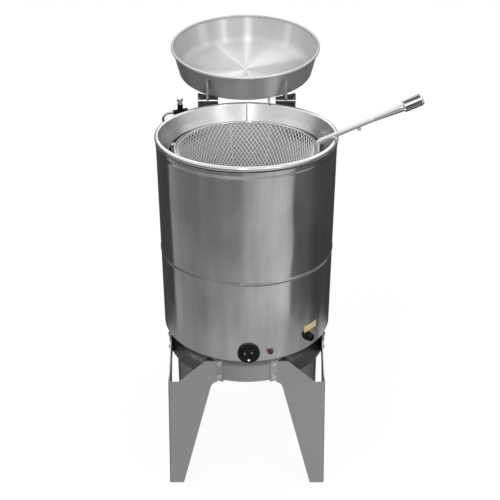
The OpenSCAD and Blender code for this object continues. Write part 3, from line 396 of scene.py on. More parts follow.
# Painted shade: a darker copy of the satin sheet for the rear legs and the rack, which stand in shade under
# the vessel and the basin.
SHADED_SATIN = Finish("shaded_satin_sheet", even(0.3), roughness=0.42, grain=(60.0, 60.0, 1400.0),
                    grain_depth=0.03*MM, tone_spread=0.08)
# Painted reflections and painted shade: the basin's rows of streaks, fans and side tones.
SPUN = Finish("spun_basin", even(0.97), metallic=0.8, roughness=0.4, grain=(12.0, 1600.0, 1.0),
              grain_depth=0.03*MM, anisotropy=1.0, rough_spread=0.03, painted_light_rows=BASIN_PAINTED_LIGHT, painted_light_r=182.1*MM,
              space=Space.SURFACE)
# Painted reflections: the lip's rows lighten it at the front.
LIP = Finish("rolled_lip", even(0.82), metallic=0.7, roughness=0.3, grain=(40.0, 900.0, 1.0),
             grain_depth=0.0, painted_light_rows=LIP_PAINTED_REFLECTION, painted_light_r=185.6*MM, space=Space.SURFACE)

# Wire, fasteners and fittings

WIRE = Finish("bright_wire", even(0.9), metallic=0.6, roughness=0.28, grain=even(220.0))
NET = Finish("net_wire", even(0.92), metallic=0.75, roughness=0.32, grain=even(300.0), tone_spread=0.12)
TUBE = Finish("bright_tube", even(0.85), roughness=0.16, grain=(300.0, 900.0, 300.0))
BRIGHT = Finish("bright_fastener", even(0.62), metallic=0.7, roughness=0.3, grain=even(500.0))
TURNED = Finish("turned_steel", (0.55, 0.55, 0.56), roughness=0.28, grain=(300.0, 300.0, 900.0))
BEZEL = Finish("blackened_bezel", (0.045, 0.045, 0.046), metallic=0.6, roughness=0.42,
               grain=(700.0, 90.0, 700.0), tone_spread=0.2)
HOT = Finish("heating_tube", (0.16, 0.155, 0.15), roughness=0.5, grain=even(160.0), tone_spread=0.2,
             grain_depth=0.05*MM)
BRASS = Finish("plain_brass", (0.62, 0.43, 0.18), roughness=0.32, grain=(240.0, 240.0, 500.0),
               tone_spread=0.1)
COPPER = Finish("drawn_copper", (0.6, 0.3, 0.17), roughness=0.3, grain=even(300.0), tone_spread=0.12)

# Mouldings, wool and marks

BLACK = Finish("black_moulding", (0.005, 0.005, 0.0055), metallic=0.0, roughness=0.3, grain=even(900.0),
               grain_depth=0.04*MM, tone_spread=0.2, rough_spread=0.08, specular=0.2)
GRIP = Finish("grip_moulding", (0.07, 0.07, 0.072), metallic=0.0, roughness=0.22, grain=even(500.0),
              tone_spread=0.2, coat=0.4)
IVORY = Finish("ivory_moulding", (0.7, 0.65, 0.52), metallic=0.0, roughness=0.45, grain=even(700.0),
               grain_depth=0.03*MM)
RED = Finish("red_lens", (0.075, 0.006, 0.012), metallic=0.0, roughness=0.22, grain=even(400.0),
             grain_depth=0.01*MM, tone_spread=0.3, coat=0.15)
SLEEVE = Finish("dipped_sleeve", (0.4, 0.02, 0.015), metallic=0.0, roughness=0.3, grain=even(400.0),
                coat=0.3)
WOOL = Finish("wool_blanket", (0.55, 0.5, 0.34), metallic=0.0, roughness=0.95, grain=(600.0, 600.0, 240.0),
              grain_depth=1.2*MM, tone_spread=0.25, rough_spread=0.03)
STICKER = Finish("plain_sticker", (0.58, 0.51, 0.2), metallic=0.0, roughness=0.38, grain=even(900.0),
                 tone_spread=0.08, coat=0.2)
MARK = Finish("pointer_mark", (0.85, 0.85, 0.83), metallic=0.0, roughness=0.4, grain=even(900.0))
# Painted highlight: grey dots on the black knob that stand in for its glints.
PAINTED_GLINT = Finish("painted_glint_mark", even(0.3), metallic=0.0, roughness=0.4, grain=even(900.0))

SLOT_FINISH = {
    "polished_steel": SHEET, "satin_steel": SATIN, "spun_steel": BRIGHT, "bright_wire": WIRE,
    "fasteners": BRIGHT, "plain_steel": TURNED, "bezel_steel": BEZEL, "black_plastic": BLACK,
    "ivory_plastic": IVORY, "red_plastic": RED, "red_sleeve": SLEEVE, "brass": BRASS, "copper": COPPER,
    "heating_steel": HOT, "mineral_wool": WOOL,
}
NODE_FINISH = {
    # Painted shade: the rack and the rear legs take the darker shaded copy of the satin sheet.
    "rack_upright_left": SHADED_SATIN, "rack_upright_right": SHADED_SATIN, "rack_arms": SHADED_SATIN,
    "leg_rear_left": SHADED_SATIN, "leg_rear_right": SHADED_SATIN,
    "basket_handle": TUBE, "basket_handle_lug": TUBE, "basket_ferrule": TUBE,
    "lamp_housing": TURNED,
}


# Shapes

def arc(centre: Sequence[float], radius: float, start: float, stop: float, count: int = 10) -> np.ndarray:
    """Points on a circle's arc from one angle to another.

    Args:
        centre: Centre of the circle in the profile plane.
        radius: Radius of the circle.
        start: First angle in degrees.
        stop: Last angle in degrees.
        count: Number of steps.

    Returns:
        Array of (count + 1, 2) points.
    """
    angle = np.radians(np.linspace(start, stop, count + 1))
    return np.asarray(centre) + radius*np.stack([np.cos(angle), np.sin(angle)], axis=1)


def supported(points: np.ndarray, gap: float = 0.8*MM, long_step: float = 5.0) -> np.ndarray:
    """Adds points near both ends of each long step of a closed outline, so that its corners stay crisp.

    Args:
        points: Outline points.
        gap: Distance of an added point from its corner.
        long_step: Number of gaps above which a step gets added points.

    Returns:
        The outline with the added points.
    """
    step = np.roll(points, -1, axis=0) - points
    length = np.linalg.norm(step, axis=1)
    rows = []
    for point, vector, size in zip(points, step, length):
        rows.append(point)
        if size > long_step*gap:
            rows.append(point + vector*gap/size)
            rows.append(point + vector*(1.0 - gap/size))
    return np.asarray(rows)


def grid_faces(rows: int, columns: int, close_rows: bool, close_columns: bool) -> np.ndarray:
    """Quads of a grid of points, joined round either way where asked.

    Args:
        rows: Points along the first parameter.
        columns: Points along the second parameter.
        close_rows: Joins the last row to the first.
        close_columns: Joins the last column to the first.

    Returns:
        Array of (faces, 4) point numbers.
    """
    i = np.arange(rows if close_rows else rows - 1)[:, None]
    j = np.arange(columns if close_columns else columns - 1)[None, :]
    next_i = (i + 1) % rows
    next_j = (j + 1) % columns
    corners = [i*columns + j, next_i*columns + j, next_i*columns + next_j, i*columns + next_j]
    return np.stack(np.broadcast_arrays(*corners), axis=-1).reshape(-1, 4)


@dataclass
class Surface:
    """Mesh of quads and triangles, with surface coordinates where a finish follows them."""

    points: np.ndarray
    quads: np.ndarray
    quad_uv: Optional[np.ndarray] = None
    tris: np.ndarray = field(default_factory=lambda: np.zeros((0, 3), dtype=int))
    tri_uv: np.ndarray = field(default_factory=lambda: np.zeros((0, 3, 2)))

    def joined(self, other: "Surface") -> "Surface":
        """Puts this surface and another together, without surface coordinates.

        Args:
            other: Surface whose point numbers are moved up.

        Returns:
            Both as one surface.
        """
        base = len(self.points)
        return Surface(np.concatenate([self.points, other.points]),
                       np.concatenate([self.quads, other.quads + base]),
                       tris=np.concatenate([self.tris, other.tris + base]))

    def placed(self, turn: np.ndarray, at: Sequence[float]) -> "Surface":
        """Returns the surface with its points turned by a matrix and then moved."""
        return replace(self, points=self.points @ np.asarray(turn).T + np.asarray(at))


def make_piece(name: str, surface: Surface, finish: Finish, body: Body,
               crease: float = CREASE_DEG) -> bpy.types.Object:
    """Makes a mesh piece that rides on a body.

    Args:
        name: Name of the piece.
        surface: Points and faces, which point outwards.
        finish: Surface finish.
        body: Body that the piece rides on.
        crease: Edge angle in degrees above which an edge is sharp.

    Returns:
        The new object.
    """
    corners = np.concatenate([surface.quads.ravel(), surface.tris.ravel()]).astype(np.int32)
    sizes = np.repeat([4, 3], [len(surface.quads), len(surface.tris)])
    mesh = bpy.data.meshes.new(name)
    mesh.vertices.add(len(surface.points))
    mesh.vertices.foreach_set("co", np.asarray(surface.points, dtype=np.float32).ravel())
    mesh.loops.add(len(corners))
    mesh.loops.foreach_set("vertex_index", corners)
    mesh.polygons.add(len(sizes))
    mesh.polygons.foreach_set("loop_start", (np.cumsum(sizes) - sizes).astype(np.int32))
    mesh.polygons.foreach_set("use_smooth", np.ones(len(sizes), dtype=bool))
    if surface.quad_uv is not None:
        layer = mesh.uv_layers.new(name="UVMap")
        uv = np.concatenate([surface.quad_uv.reshape(-1, 2), surface.tri_uv.reshape(-1, 2)])
        layer.data.foreach_set("uv", uv.astype(np.float32).ravel())
    mesh.update(calc_edges=True)
    mesh.validate()
    mesh.set_sharp_from_angle(angle=math.radians(crease))
    mesh.materials.append(finish.material())
    piece = bpy.data.objects.new(name, mesh)
    bpy.context.scene.collection.objects.link(piece)
    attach(piece, body.value)
    LOG.info("made %s with %d faces", name, len(sizes))
    return piece


def turned_points(profile: np.ndarray, segments: int) -> np.ndarray:
    """Points of an outline turned round the Z axis.

    At the angle a, the outline point (r, z) goes to (r cos a, r sin a, z).

    Args:
        profile: Outline points (r, z).
        segments: Steps round the axis.

    Returns:
        Array of points, with the whole outline together at each step.
    """
    angle = np.linspace(0.0, TURN, segments, endpoint=False)[:, None]
    r, z = profile.T
    return np.stack(np.broadcast_arrays(r*np.cos(angle), r*np.sin(angle), z), axis=-1).reshape(-1, 3)


def turned_uv(profile: np.ndarray, along: np.ndarray, segments: int, count: int) -> np.ndarray:
    """Surface coordinates of a turned outline: arc length at its widest radius, and length along it.

    Args:
        profile: Outline points (r, z).
        along: Length along the outline at each of its points.
        segments: Steps round the axis.
        count: Steps along the outline.

    Returns:
        Array of (faces, 4, 2) coordinates.
    """
    i, j = np.meshgrid(np.arange(segments), np.arange(count), indexing="ij")
    u = np.stack([i, i + 1, i + 1, i], axis=-1)*TURN*profile[:, 0].max()/segments
    v = np.stack([along[j], along[j], along[j + 1], along[j + 1]], axis=-1)
    return np.stack([u, v], axis=-1).reshape(-1, 4, 2)


def fan_uv(u: Sequence[np.ndarray], v: Sequence[float]) -> np.ndarray:
    """Returns a pole's surface coordinates: each corner's arc lengths, and its length along the outline."""
    return np.stack(np.broadcast_arrays(np.stack(u, axis=-1), np.asarray(v)), axis=-1)


def revolve(profile: np.ndarray, segments: int) -> Surface:
    """Closed outline turned round the Z axis, with surface coordinates round the axis and along it.

    Args:
        profile: Outline points (r, z), counter-clockwise seen with r to the right and z up.
        segments: Steps round the axis.

    Returns:
        The turned surface.
    """
    step = np.linalg.norm(np.roll(profile, -1, axis=0) - profile, axis=1)
    along = np.concatenate([[0.0], np.cumsum(step)])
    return Surface(turned_points(profile, segments), grid_faces(segments, len(profile), True, True),
                   turned_uv(profile, along, segments, len(profile)))


def turn_solid(profile: np.ndarray, segments: int) -> Surface:
    """Half outline turned round the Z axis into a solid whose two poles are closed by fans.

    Args:
        profile: Points (r, z) from the lower pole outwards and back to the upper pole, both with r = 0.
        segments: Steps round the axis.

    Returns:
        The turned surface.
    """
    rows = profile[1:-1]
    wall = turned_points(rows, segments)
    poles = np.asarray([[0.0, 0.0, profile[0, 1]], [0.0, 0.0, profile[-1, 1]]])
    along = np.concatenate([[0.0], np.cumsum(np.linalg.norm(np.diff(profile, axis=0), axis=1))])
    first = np.arange(segments)*len(rows)
    last = first + len(rows) - 1
    low = np.stack([np.full(segments, len(wall)), np.roll(first, -1), first], axis=-1)
    high = np.stack([np.full(segments, len(wall) + 1), last, np.roll(last, -1)], axis=-1)
    step = TURN*profile[:, 0].max()/segments
    u = np.arange(segments)*step
    low_uv = fan_uv([u, u + step, u], [along[0], along[1], along[1]])
    high_uv = fan_uv([u, u, u + step], [along[-1], along[-2], along[-2]])
    return Surface(np.concatenate([wall, poles]), grid_faces(segments, len(rows), True, False),
                   turned_uv(profile, along[1:], segments, len(rows) - 1),
                   np.concatenate([low, high]), np.concatenate([low_uv, high_uv]))


def end_caps(sides: int) -> np.ndarray:
    """Quads that close a ring of an even number of points, as strips from one side to the other."""
    k = np.arange(sides//2 - 1)
    return np.stack([k, k + 1, sides - 2 - k, sides - 1 - k], axis=-1)


def loft(rings: np.ndarray) -> Surface:
    """Closed solids through rings of points, with flat ends.

    Args:
        rings: Array of (solids, steps, sides, 3) points. Each ring has an even number of points and
            runs counter-clockwise seen from the end of its path.

    Returns:
        All solids as one surface.
    """
    solids, steps, sides = rings.shape[:3]
    caps = end_caps(sides)
    wall = grid_faces(steps, sides, False, True)[:, ::-1]
    one = np.concatenate([wall, caps[:, ::-1], caps + (steps - 1)*sides])
    quads = np.arange(solids)[:, None, None]*steps*sides + one[None]
    return Surface(rings.reshape(-1, 3), quads.reshape(-1, 4))


def sweep_wires(paths: np.ndarray, radius: float, sides: int, side_hint: np.ndarray) -> Surface:
    """Round wires along many paths at once.

    Each wire's ring of points lies round its path in the plane of two directions at right angles to it:
    the hint made square to the path, and their cross product.

    Args:
        paths: Array of (wires, steps, 3) points.
        radius: Radius of the wire.
        sides: Even number of points round each wire.
        side_hint: Array that broadcasts to the paths, pointing roughly across each wire.

    Returns:
        All wires as one surface.
    """
    along = np.gradient(paths, axis=1)
    along /= np.linalg.norm(along, axis=2, keepdims=True)
    hint = np.broadcast_to(side_hint, paths.shape)
    across = hint - along*np.sum(hint*along, axis=2, keepdims=True)
    across /= np.linalg.norm(across, axis=2, keepdims=True)
    third = np.cross(along, across)
    angle = np.linspace(0.0, TURN, sides, endpoint=False)[:, None]
    ring = across[:, :, None, :]*np.cos(angle) + third[:, :, None, :]*np.sin(angle)
    return loft(paths[:, :, None, :] + radius*ring)


def torus(radius: float, wire: float, height: float, segments: int, sides: int) -> Surface:
    """Ring of round wire at a height: a circle of the wire's radius turned round the Z axis."""
    return revolve(arc((radius, height), wire, 0.0, TURN_DEG*(1.0 - 1.0/sides), sides - 1), segments)


def radial_turn(azimuth_deg: float) -> np.ndarray:
    """Matrix that turns +Z to a level direction, and +X to straight down.

    Args:
        azimuth_deg: Angle of the direction from +X.

    Returns:
        The 3 by 3 matrix.
    """
    c = math.cos(math.radians(azimuth_deg))
    s = math.sin(math.radians(azimuth_deg))
    return np.asarray([[0.0, -s, c], [0.0, c, s], [-1.0, 0.0, 0.0]])


# Room that bright pieces reflect, by compass angle to the right of the front, from the floor to the ceiling

LOW_STRIPS = ((-180.0, 0.5), (-130.0, 0.45), (-90.0, 0.55), (-10.0, 0.45), (-8.0, 0.9), (-3.0, 0.9),
              (-1.0, 0.45), (36.0, 0.55), (38.0, 0.9), (43.0, 0.9), (45.0, 0.55), (80.0, 0.4), (180.0, 0.5))
HIGH_STRIPS = ((-180.0, 1.35), (-145.0, 1.35), (-130.0, 0.95), (-95.0, 0.9), (-70.0, 1.1), (-60.0, 0.85),
               (-10.0, 0.85), (-8.0, 3.2), (-3.0, 3.2), (-1.0, 1.0), (36.0, 1.0), (38.0, 2.8), (43.0, 2.8),
               (45.0, 0.85), (110.0, 0.9), (140.0, 1.35), (180.0, 1.35))
FLOOR_BELOW = ((-180.0, 0.2), (-60.0, 0.32), (0.0, 0.3), (60.0, 0.1), (180.0, 0.12))
FLOOR_NEAR = ((-180.0, 0.06), (-150.0, 0.1), (-140.0, 0.26), (-122.0, 0.35), (-75.0, 0.34), (-15.0, 0.5),
              (45.0, 0.54), (65.0, 0.42), (95.0, 0.36), (118.0, 0.22), (128.0, 0.5), (146.0, 0.5),
              (158.0, 0.12), (180.0, 0.06))
FLOOR_FAR = ((-180.0, 0.06), (-117.0, 0.07), (-108.0, 0.45), (-98.0, 0.34), (-85.0, 0.32), (-35.0, 0.32),
             (0.0, 0.5), (40.0, 0.69), (59.5, 0.6), (62.5, 0.18), (95.0, 0.07), (180.0, 0.05))
WALLS_LOW = ((-180.0, 0.06), (-119.0, 0.07), (-110.0, 0.38), (-100.0, 0.23), (-12.0, 0.24), (15.0, 0.55),
             (40.0, 0.7), (60.0, 0.58), (64.0, 0.18), (100.0, 0.085), (180.0, 0.05))
WALLS_HIGH = ((-180.0, 0.25), (-150.0, 0.25), (-110.0, 0.1), (-10.0, 0.1), (30.0, 0.5), (60.0, 0.5),
              (85.0, 0.13), (150.0, 0.25), (180.0, 0.25))
CEILING = ((-180.0, 0.7), (180.0, 0.7))
REFLECTED_ROOM = (
    ToneRow(-0.95, FLOOR_BELOW), ToneRow(-0.556, FLOOR_NEAR), ToneRow(-0.534, FLOOR_FAR),
    ToneRow(-0.43, WALLS_LOW), ToneRow(-0.1, WALLS_HIGH), ToneRow(0.25, LOW_STRIPS),
    ToneRow(0.4, HIGH_STRIPS), ToneRow(0.85, HIGH_STRIPS), ToneRow(1.0, CEILING),
)


@dataclass(frozen=True)
class Lamp:
    """Soft square lamp: its place, the point that it faces, its side and its power."""

    name: str
    at: tuple
    aim: tuple
    size: float
    watts: float

    def hang(self) -> None:
        """Adds the lamp to the scene. Bright pieces reflect the room's strip lights in its stead."""
        data = bpy.data.lights.new(self.name, "AREA")
        data.size = self.size
        data.energy = self.watts
        lamp = bpy.data.objects.new(self.name, data)
        way = np.asarray(self.aim) - np.asarray(self.at)
        level = math.hypot(way[0], way[1])
        lamp.location = self.at
        lamp.visible_glossy = False
        lamp.rotation_euler = (math.atan2(level, -way[2]), 0.0, math.atan2(way[1], way[0]) - math.pi/2.0)
        bpy.context.scene.collection.objects.link(lamp)


@dataclass
class Studio:
    """Camera, lights, room and floor round the object."""

    focal_px: float = 880.0
    image_px: float = 500.0
    sensor_mm: float = 36.0
    pitch_deg: float = 28.5
    camera_at: tuple = (7.8*MM, -1826.2*MM, 1541.3*MM)
    camera_reach: float = 100.0
    room_light: tuple = (0.82, 0.82, 0.83, 1.0)
    floor_size: float = 30.0
    floor_colour: tuple = (0.9, 0.9, 0.9, 1.0)
    floor_white: float = 0.88
    floor_glow: float = 1.03
    lamps: tuple = (Lamp("key", (-1.6, -2.2, 2.6), (0.0, 0.0, 0.6), 1.6, 26.0),
                    Lamp("fill", (2.2, -1.6, 2.0), (0.0, 0.0, 0.6), 1.8, 10.0))

    def place_camera(self) -> None:
        """Puts the camera where the photograph was taken from."""
        lens = bpy.data.cameras.new("camera")
        lens.sensor_width = self.sensor_mm
        lens.lens = self.focal_px/self.image_px*self.sensor_mm
        lens.clip_end = self.camera_reach
        camera = bpy.data.objects.new("camera", lens)
        camera.location = self.camera_at
        camera.rotation_euler = (math.radians(90.0 - self.pitch_deg), 0.0, 0.0)
        bpy.context.scene.collection.objects.link(camera)
        bpy.context.scene.camera = camera

    def light_room(self) -> None:
        """Sets the room: white to the camera, soft grey light, and strip lights for reflections.

        Reflected directions look up the room's tones by their compass angle from the front. The rows
        blend by the height of the direction, from straight down at -1 to straight up at 1.
        """
        world = bpy.data.worlds.new("studio")
        bpy.context.scene.world = world
        world.use_nodes = True
        tree = NodeTree(world.node_tree)
        way = tree.add("ShaderNodeSeparateXYZ", {0: tree.add("ShaderNodeTexCoord").outputs["Generated"]})
        compass = tree.math("ARCTAN2", way.outputs["X"], tree.math("MULTIPLY", way.outputs["Y"], -1.0))
        around = tree.spread(compass, 0.0, 1.0, -math.pi, math.pi)
        room = tree.tone_rows(around, way.outputs["Z"], REFLECTED_ROOM)
        path = tree.add("ShaderNodeLightPath")
        soft = tree.mix(path.outputs["Is Glossy Ray"], self.room_light, room)
        seen = tree.math("MAXIMUM", path.outputs["Is Camera Ray"], path.outputs["Is Transmission Ray"])
        light = tree.add("ShaderNodeBackground", {"Color": tree.mix(seen, soft, WHITE), "Strength": 1.0})
        tree.add("ShaderNodeOutputWorld", {"Surface": light.outputs[0]})

    def lay_floor(self) -> None:
        """Lays the pale floor, which keeps a faint shadow and reads as white to the camera."""
        half = self.floor_size/2.0
        mesh = bpy.data.meshes.new("floor")
        corners = [(-half, -half, 0.0), (half, -half, 0.0), (half, half, 0.0), (-half, half, 0.0)]
        mesh.from_pydata(corners, [], [(0, 1, 2, 3)])
        material = bpy.data.materials.new("floor_paper")
        material.use_nodes = True
        tree = NodeTree(material.node_tree)
        paper = tree.add("ShaderNodeBsdfDiffuse", {"Color": self.floor_colour})
        white = tree.add("ShaderNodeEmission", {"Color": WHITE, "Strength": self.floor_glow})
        path = tree.add("ShaderNodeLightPath")
        seen = tree.math("MULTIPLY", path.outputs["Is Camera Ray"], self.floor_white)
        shader = tree.add("ShaderNodeMixShader", {0: seen, 1: paper.outputs[0], 2: white.outputs[0]})
        tree.add("ShaderNodeOutputMaterial", {"Surface": shader.outputs[0]})
        mesh.materials.append(material)
        floor = bpy.data.objects.new("floor", mesh)
        floor.visible_glossy = False
        bpy.context.scene.collection.objects.link(floor)

    def build(self) -> None:
        """Builds the whole studio."""
        bpy.context.scene.view_settings.view_transform = "Standard"
        self.place_camera()
        self.light_room()
        self.lay_floor()
        for lamp in self.lamps:
            lamp.hang()


# Pieces of the fryer

@dataclass
class Vessel:
    """Jacket, rim, tank and collar, each an outline turned round the tank axis."""

    body_r: float = 200.0*MM
    jacket_wall: float = 1.2*MM
    floor_gap: float = 371.0*MM
    hem_t: float = 3.0*MM
    hem_h: float = 9.0*MM
    bead_z: float = 572.0*MM
    bead_h: float = 9.0*MM
    bead_proud: float = 1.2*MM
    jacket_top: float = 834.0*MM
    flare_h: float = 16.0*MM
    flare_run: float = 0.6
    flare_proud: float = 1.0*MM
    rim_r: float = 196.5*MM
    rim_wire: float = 6.0*MM
    rim_z: float = 840.0*MM
    rim_sides: int = 28
    lip_leaves_deg: float = 153.0
    skirt_drop: float = 13.3*MM
    tank_top: float = 833.95*MM
    tank_wall: float = 1.5*MM
    tank_crease: float = 20.0
    seat_r: float = 198.5*MM
    lip_r: float = 188.5*MM
    well_r: float = 172.0*MM
    well_top: float = 807.95*MM
    dish_z: float = 482.0*MM
    outlet_r: float = 10.0*MM
    outlet_wall_r: float = 11.9*MM
    tank_floor: float = 454.0*MM
    outlet_end: float = 436.0*MM
    weld_half: float = 1.7*MM
    weld_top: float = 0.7
    weld_sunk: float = 0.1*MM
    weld_proud: float = 0.3*MM
    collar_r: float = 192.0*MM
    collar_wall: float = 1.5*MM
    collar_end: float = 308.0*MM
    collar_top: float = 374.0*MM
    collar_flange: float = 12.0*MM
    collar_hem: float = 3.5*MM
    patch_gap: float = 0.02*MM
    patch_edge: float = 0.4*MM
    patch_end: float = 0.1
    patch_steps: int = 12
    sticker_span: tuple = (41.0, 53.0)
    sticker_band: tuple = (416.0*MM, 433.0*MM)
    sticker_t: float = 0.3*MM
    seam_span: tuple = (165.0, 168.0)
    seam_band: tuple = (384.0*MM, 566.0*MM)
    seam_t: float = 0.8*MM
    segments: int = 256

    def turned(self, name: str, outline: np.ndarray, finish: Finish,
               crease: float = CREASE_DEG) -> bpy.types.Object:
        """Makes one piece of the vessel.

        Args:
            name: Name of the piece.
            outline: Closed outline (r, z), counter-clockwise.
            finish: Surface finish.
            crease: Edge angle in degrees above which an edge is sharp.

        Returns:
            The new object.
        """
        surface = revolve(supported(outline), self.segments)
        return make_piece(name, surface, finish, Body.FRAME, crease)

    def jacket(self) -> None:
        """Jacket: hem, plain wall, low swaged bead, plain wall and a softly flared band under the rim.

        At the share t across the bead, from -1 to 1, its wall stands proud by p (1 + cos(pi t))/2. At the
        share f up the flare it stands proud by p f^2 (3 - 2 f).
        """
        inner = self.body_r - self.jacket_wall
        flare = np.linspace(0.0, 1.0, 9)
        swell = self.flare_proud*flare*flare*(3.0 - 2.0*flare)
        band = np.stack([self.body_r + swell,
                         self.jacket_top - self.flare_h*(1.0 - flare*self.flare_run)], axis=1)
        share = np.linspace(-1.0, 1.0, 17)
        bead = np.stack([self.body_r + self.bead_proud*(1.0 + np.cos(math.pi*share))/2.0,
                         self.bead_z + self.bead_h/2.0*share], axis=1)
        hem_round = self.hem_t/2.0
        outline = np.concatenate([
            arc((self.body_r - hem_round, self.floor_gap + hem_round), hem_round, 180.0, 360.0),
            bead,
            band,
            [[self.body_r + self.flare_proud, self.jacket_top],
             [inner, self.jacket_top],
             [inner, self.floor_gap + self.hem_h],
             [self.body_r - self.hem_t, self.floor_gap + self.hem_h - hem_round]]])
        piece = self.turned("jacket", outline, POLISHED)
        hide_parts("outer_shell")

    def rim(self) -> None:
        """Rolled rim."""
        rim = torus(self.rim_r, self.rim_wire, self.rim_z, self.segments, self.rim_sides)
        piece = make_piece("rim", rim, RIM, Body.FRAME)
        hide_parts("rim_ring")

    def slope_run(self) -> float:
        """Way that the lip slopes inwards for each metre down."""
        return (self.lip_r - self.well_r)/(self.tank_top - self.well_top)

    def slope_top(self) -> np.ndarray:
        """Inner line of the lip.

        Returns:
            Points (r, z) where it leaves the rim's round edge, where it meets the slope, and at the
            slope's foot.
        """
        leave = self.lip_leaves_deg
        leaves = arc((self.rim_r, self.rim_z), self.rim_wire, leave, leave, 1)[0]
        meets = [self.lip_r - self.skirt_drop*self.slope_run(), self.tank_top - self.skirt_drop]
        return np.asarray([leaves, meets, [self.well_r, self.well_top]])

    def tank(self) -> None:
        """Tank: a polished seat and sloping lip, and a satin well with a dished floor and an outlet."""
        run = self.slope_run()
        slope_wall = self.tank_wall*math.hypot(1.0, run)
        dish = (self.dish_z - self.tank_floor)/(self.well_r - self.outlet_r)
        dish_wall = self.tank_wall*math.hypot(1.0, dish)
        outer_r = self.well_r + self.tank_wall
        outer_z = self.well_top - (slope_wall - self.tank_wall)/run
        slope = np.concatenate([
            [[self.seat_r, self.tank_top], [self.rim_r, self.tank_top]],
            self.slope_top(),
            [[outer_r, outer_z],
             [self.lip_r + slope_wall - self.tank_wall*run, self.tank_top - self.tank_wall],
             [self.seat_r, self.tank_top - self.tank_wall]]])
        well = np.asarray([
            [outer_r, outer_z],
            [self.well_r, self.well_top],
            [self.well_r, self.dish_z],
            [self.outlet_r, self.tank_floor],
            [self.outlet_r, self.outlet_end],
            [self.outlet_wall_r, self.outlet_end],
            [self.outlet_wall_r, self.tank_floor - dish_wall],
            [outer_r, self.dish_z - dish_wall]])
        for name, outline, finish in (("tank_slope", slope, LINER), ("tank_well", well, WELL)):
            piece = self.turned(name, outline, finish, self.tank_crease)
            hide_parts("tank")

    def lip_seam(self) -> None:
        """Weld seam: a low strip with bevelled sides, straight down the lip at the back."""
        r, z = self.slope_top().T
        path = np.stack([np.zeros(len(r)), r, z], axis=1)
        along = (path[-1] - path[0])/np.linalg.norm(path[-1] - path[0])
        across = np.asarray([1.0, 0.0, 0.0])
        up = np.cross(along, across)
        sides = self.weld_half*np.asarray([-1.0, 1.0, self.weld_top, -self.weld_top])[:, None]*across
        heights = (-self.weld_sunk, -self.weld_sunk, self.weld_proud, self.weld_proud)
        lift = np.asarray(heights)[:, None]*up
        strip = loft(path[None, :, None, :] + sides + lift)
        make_piece("lip_weld_seam", strip, SEAM, Body.FRAME)

    def collar(self) -> None:
        """Collar: recessed skirt with a folded lower edge and an inward flange on top."""
        wall = self.collar_wall
        outline = np.concatenate([
            arc((self.collar_r - wall, self.collar_end + wall), wall, 180.0, 360.0),
            [[self.collar_r, self.collar_top],
             [self.collar_r - self.collar_flange, self.collar_top],
             [self.collar_r - self.collar_flange, self.collar_top - wall],
             [self.collar_r - wall, self.collar_top - wall],
             [self.collar_r - wall, self.collar_end + self.collar_hem],
             [self.collar_r - 2.0*wall, self.collar_end + self.collar_hem]]])
        piece = self.turned("collar_skirt", outline, COLLAR)
        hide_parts("collar")

    def patch(self, name: str, finish: Finish, span: tuple, band: tuple, thick: float) -> None:
        """Thin curved plate on the outside of the jacket, with its edges bevelled to the wall.

        Args:
            name: Name of the piece.
            finish: Surface finish.
            span: First and last angle in degrees to the right of the front.
            band: Lowest and highest edge.
            thick: Thickness of the plate.
        """
        edge = self.patch_edge
        turn = edge/self.body_r
        a = np.radians(np.linspace(span[0], span[1], self.patch_steps + 1))
        a = np.concatenate([[a[0]], [a[0] + turn], a[1:-1], [a[-1] - turn], [a[-1]]])[:, None]
        lift = np.where(np.arange(len(a)) % (len(a) - 1) == 0, self.patch_end, 1.0)[:, None]
        r = self.body_r + self.patch_gap + thick*lift*np.asarray([0.0, 0.0, 1.0, 1.0])
        z = np.asarray([band[0], band[1], band[1] - edge, band[0] + edge])
        rings = np.stack([r*np.sin(a), -r*np.cos(a), np.broadcast_to(z, r.shape)], axis=-1)
        make_piece(name, loft(rings[None]), finish, Body.FRAME)

    def build(self) -> None:
        """Builds the vessel's pieces."""
        self.jacket()
        self.rim()
        self.tank()
        self.lip_seam()
        self.collar()
        self.patch("blank_sticker", STICKER, self.sticker_span, self.sticker_band,
                   self.sticker_t)
        self.patch("jacket_seam", SHEET, self.seam_span, self.seam_band, self.seam_t)


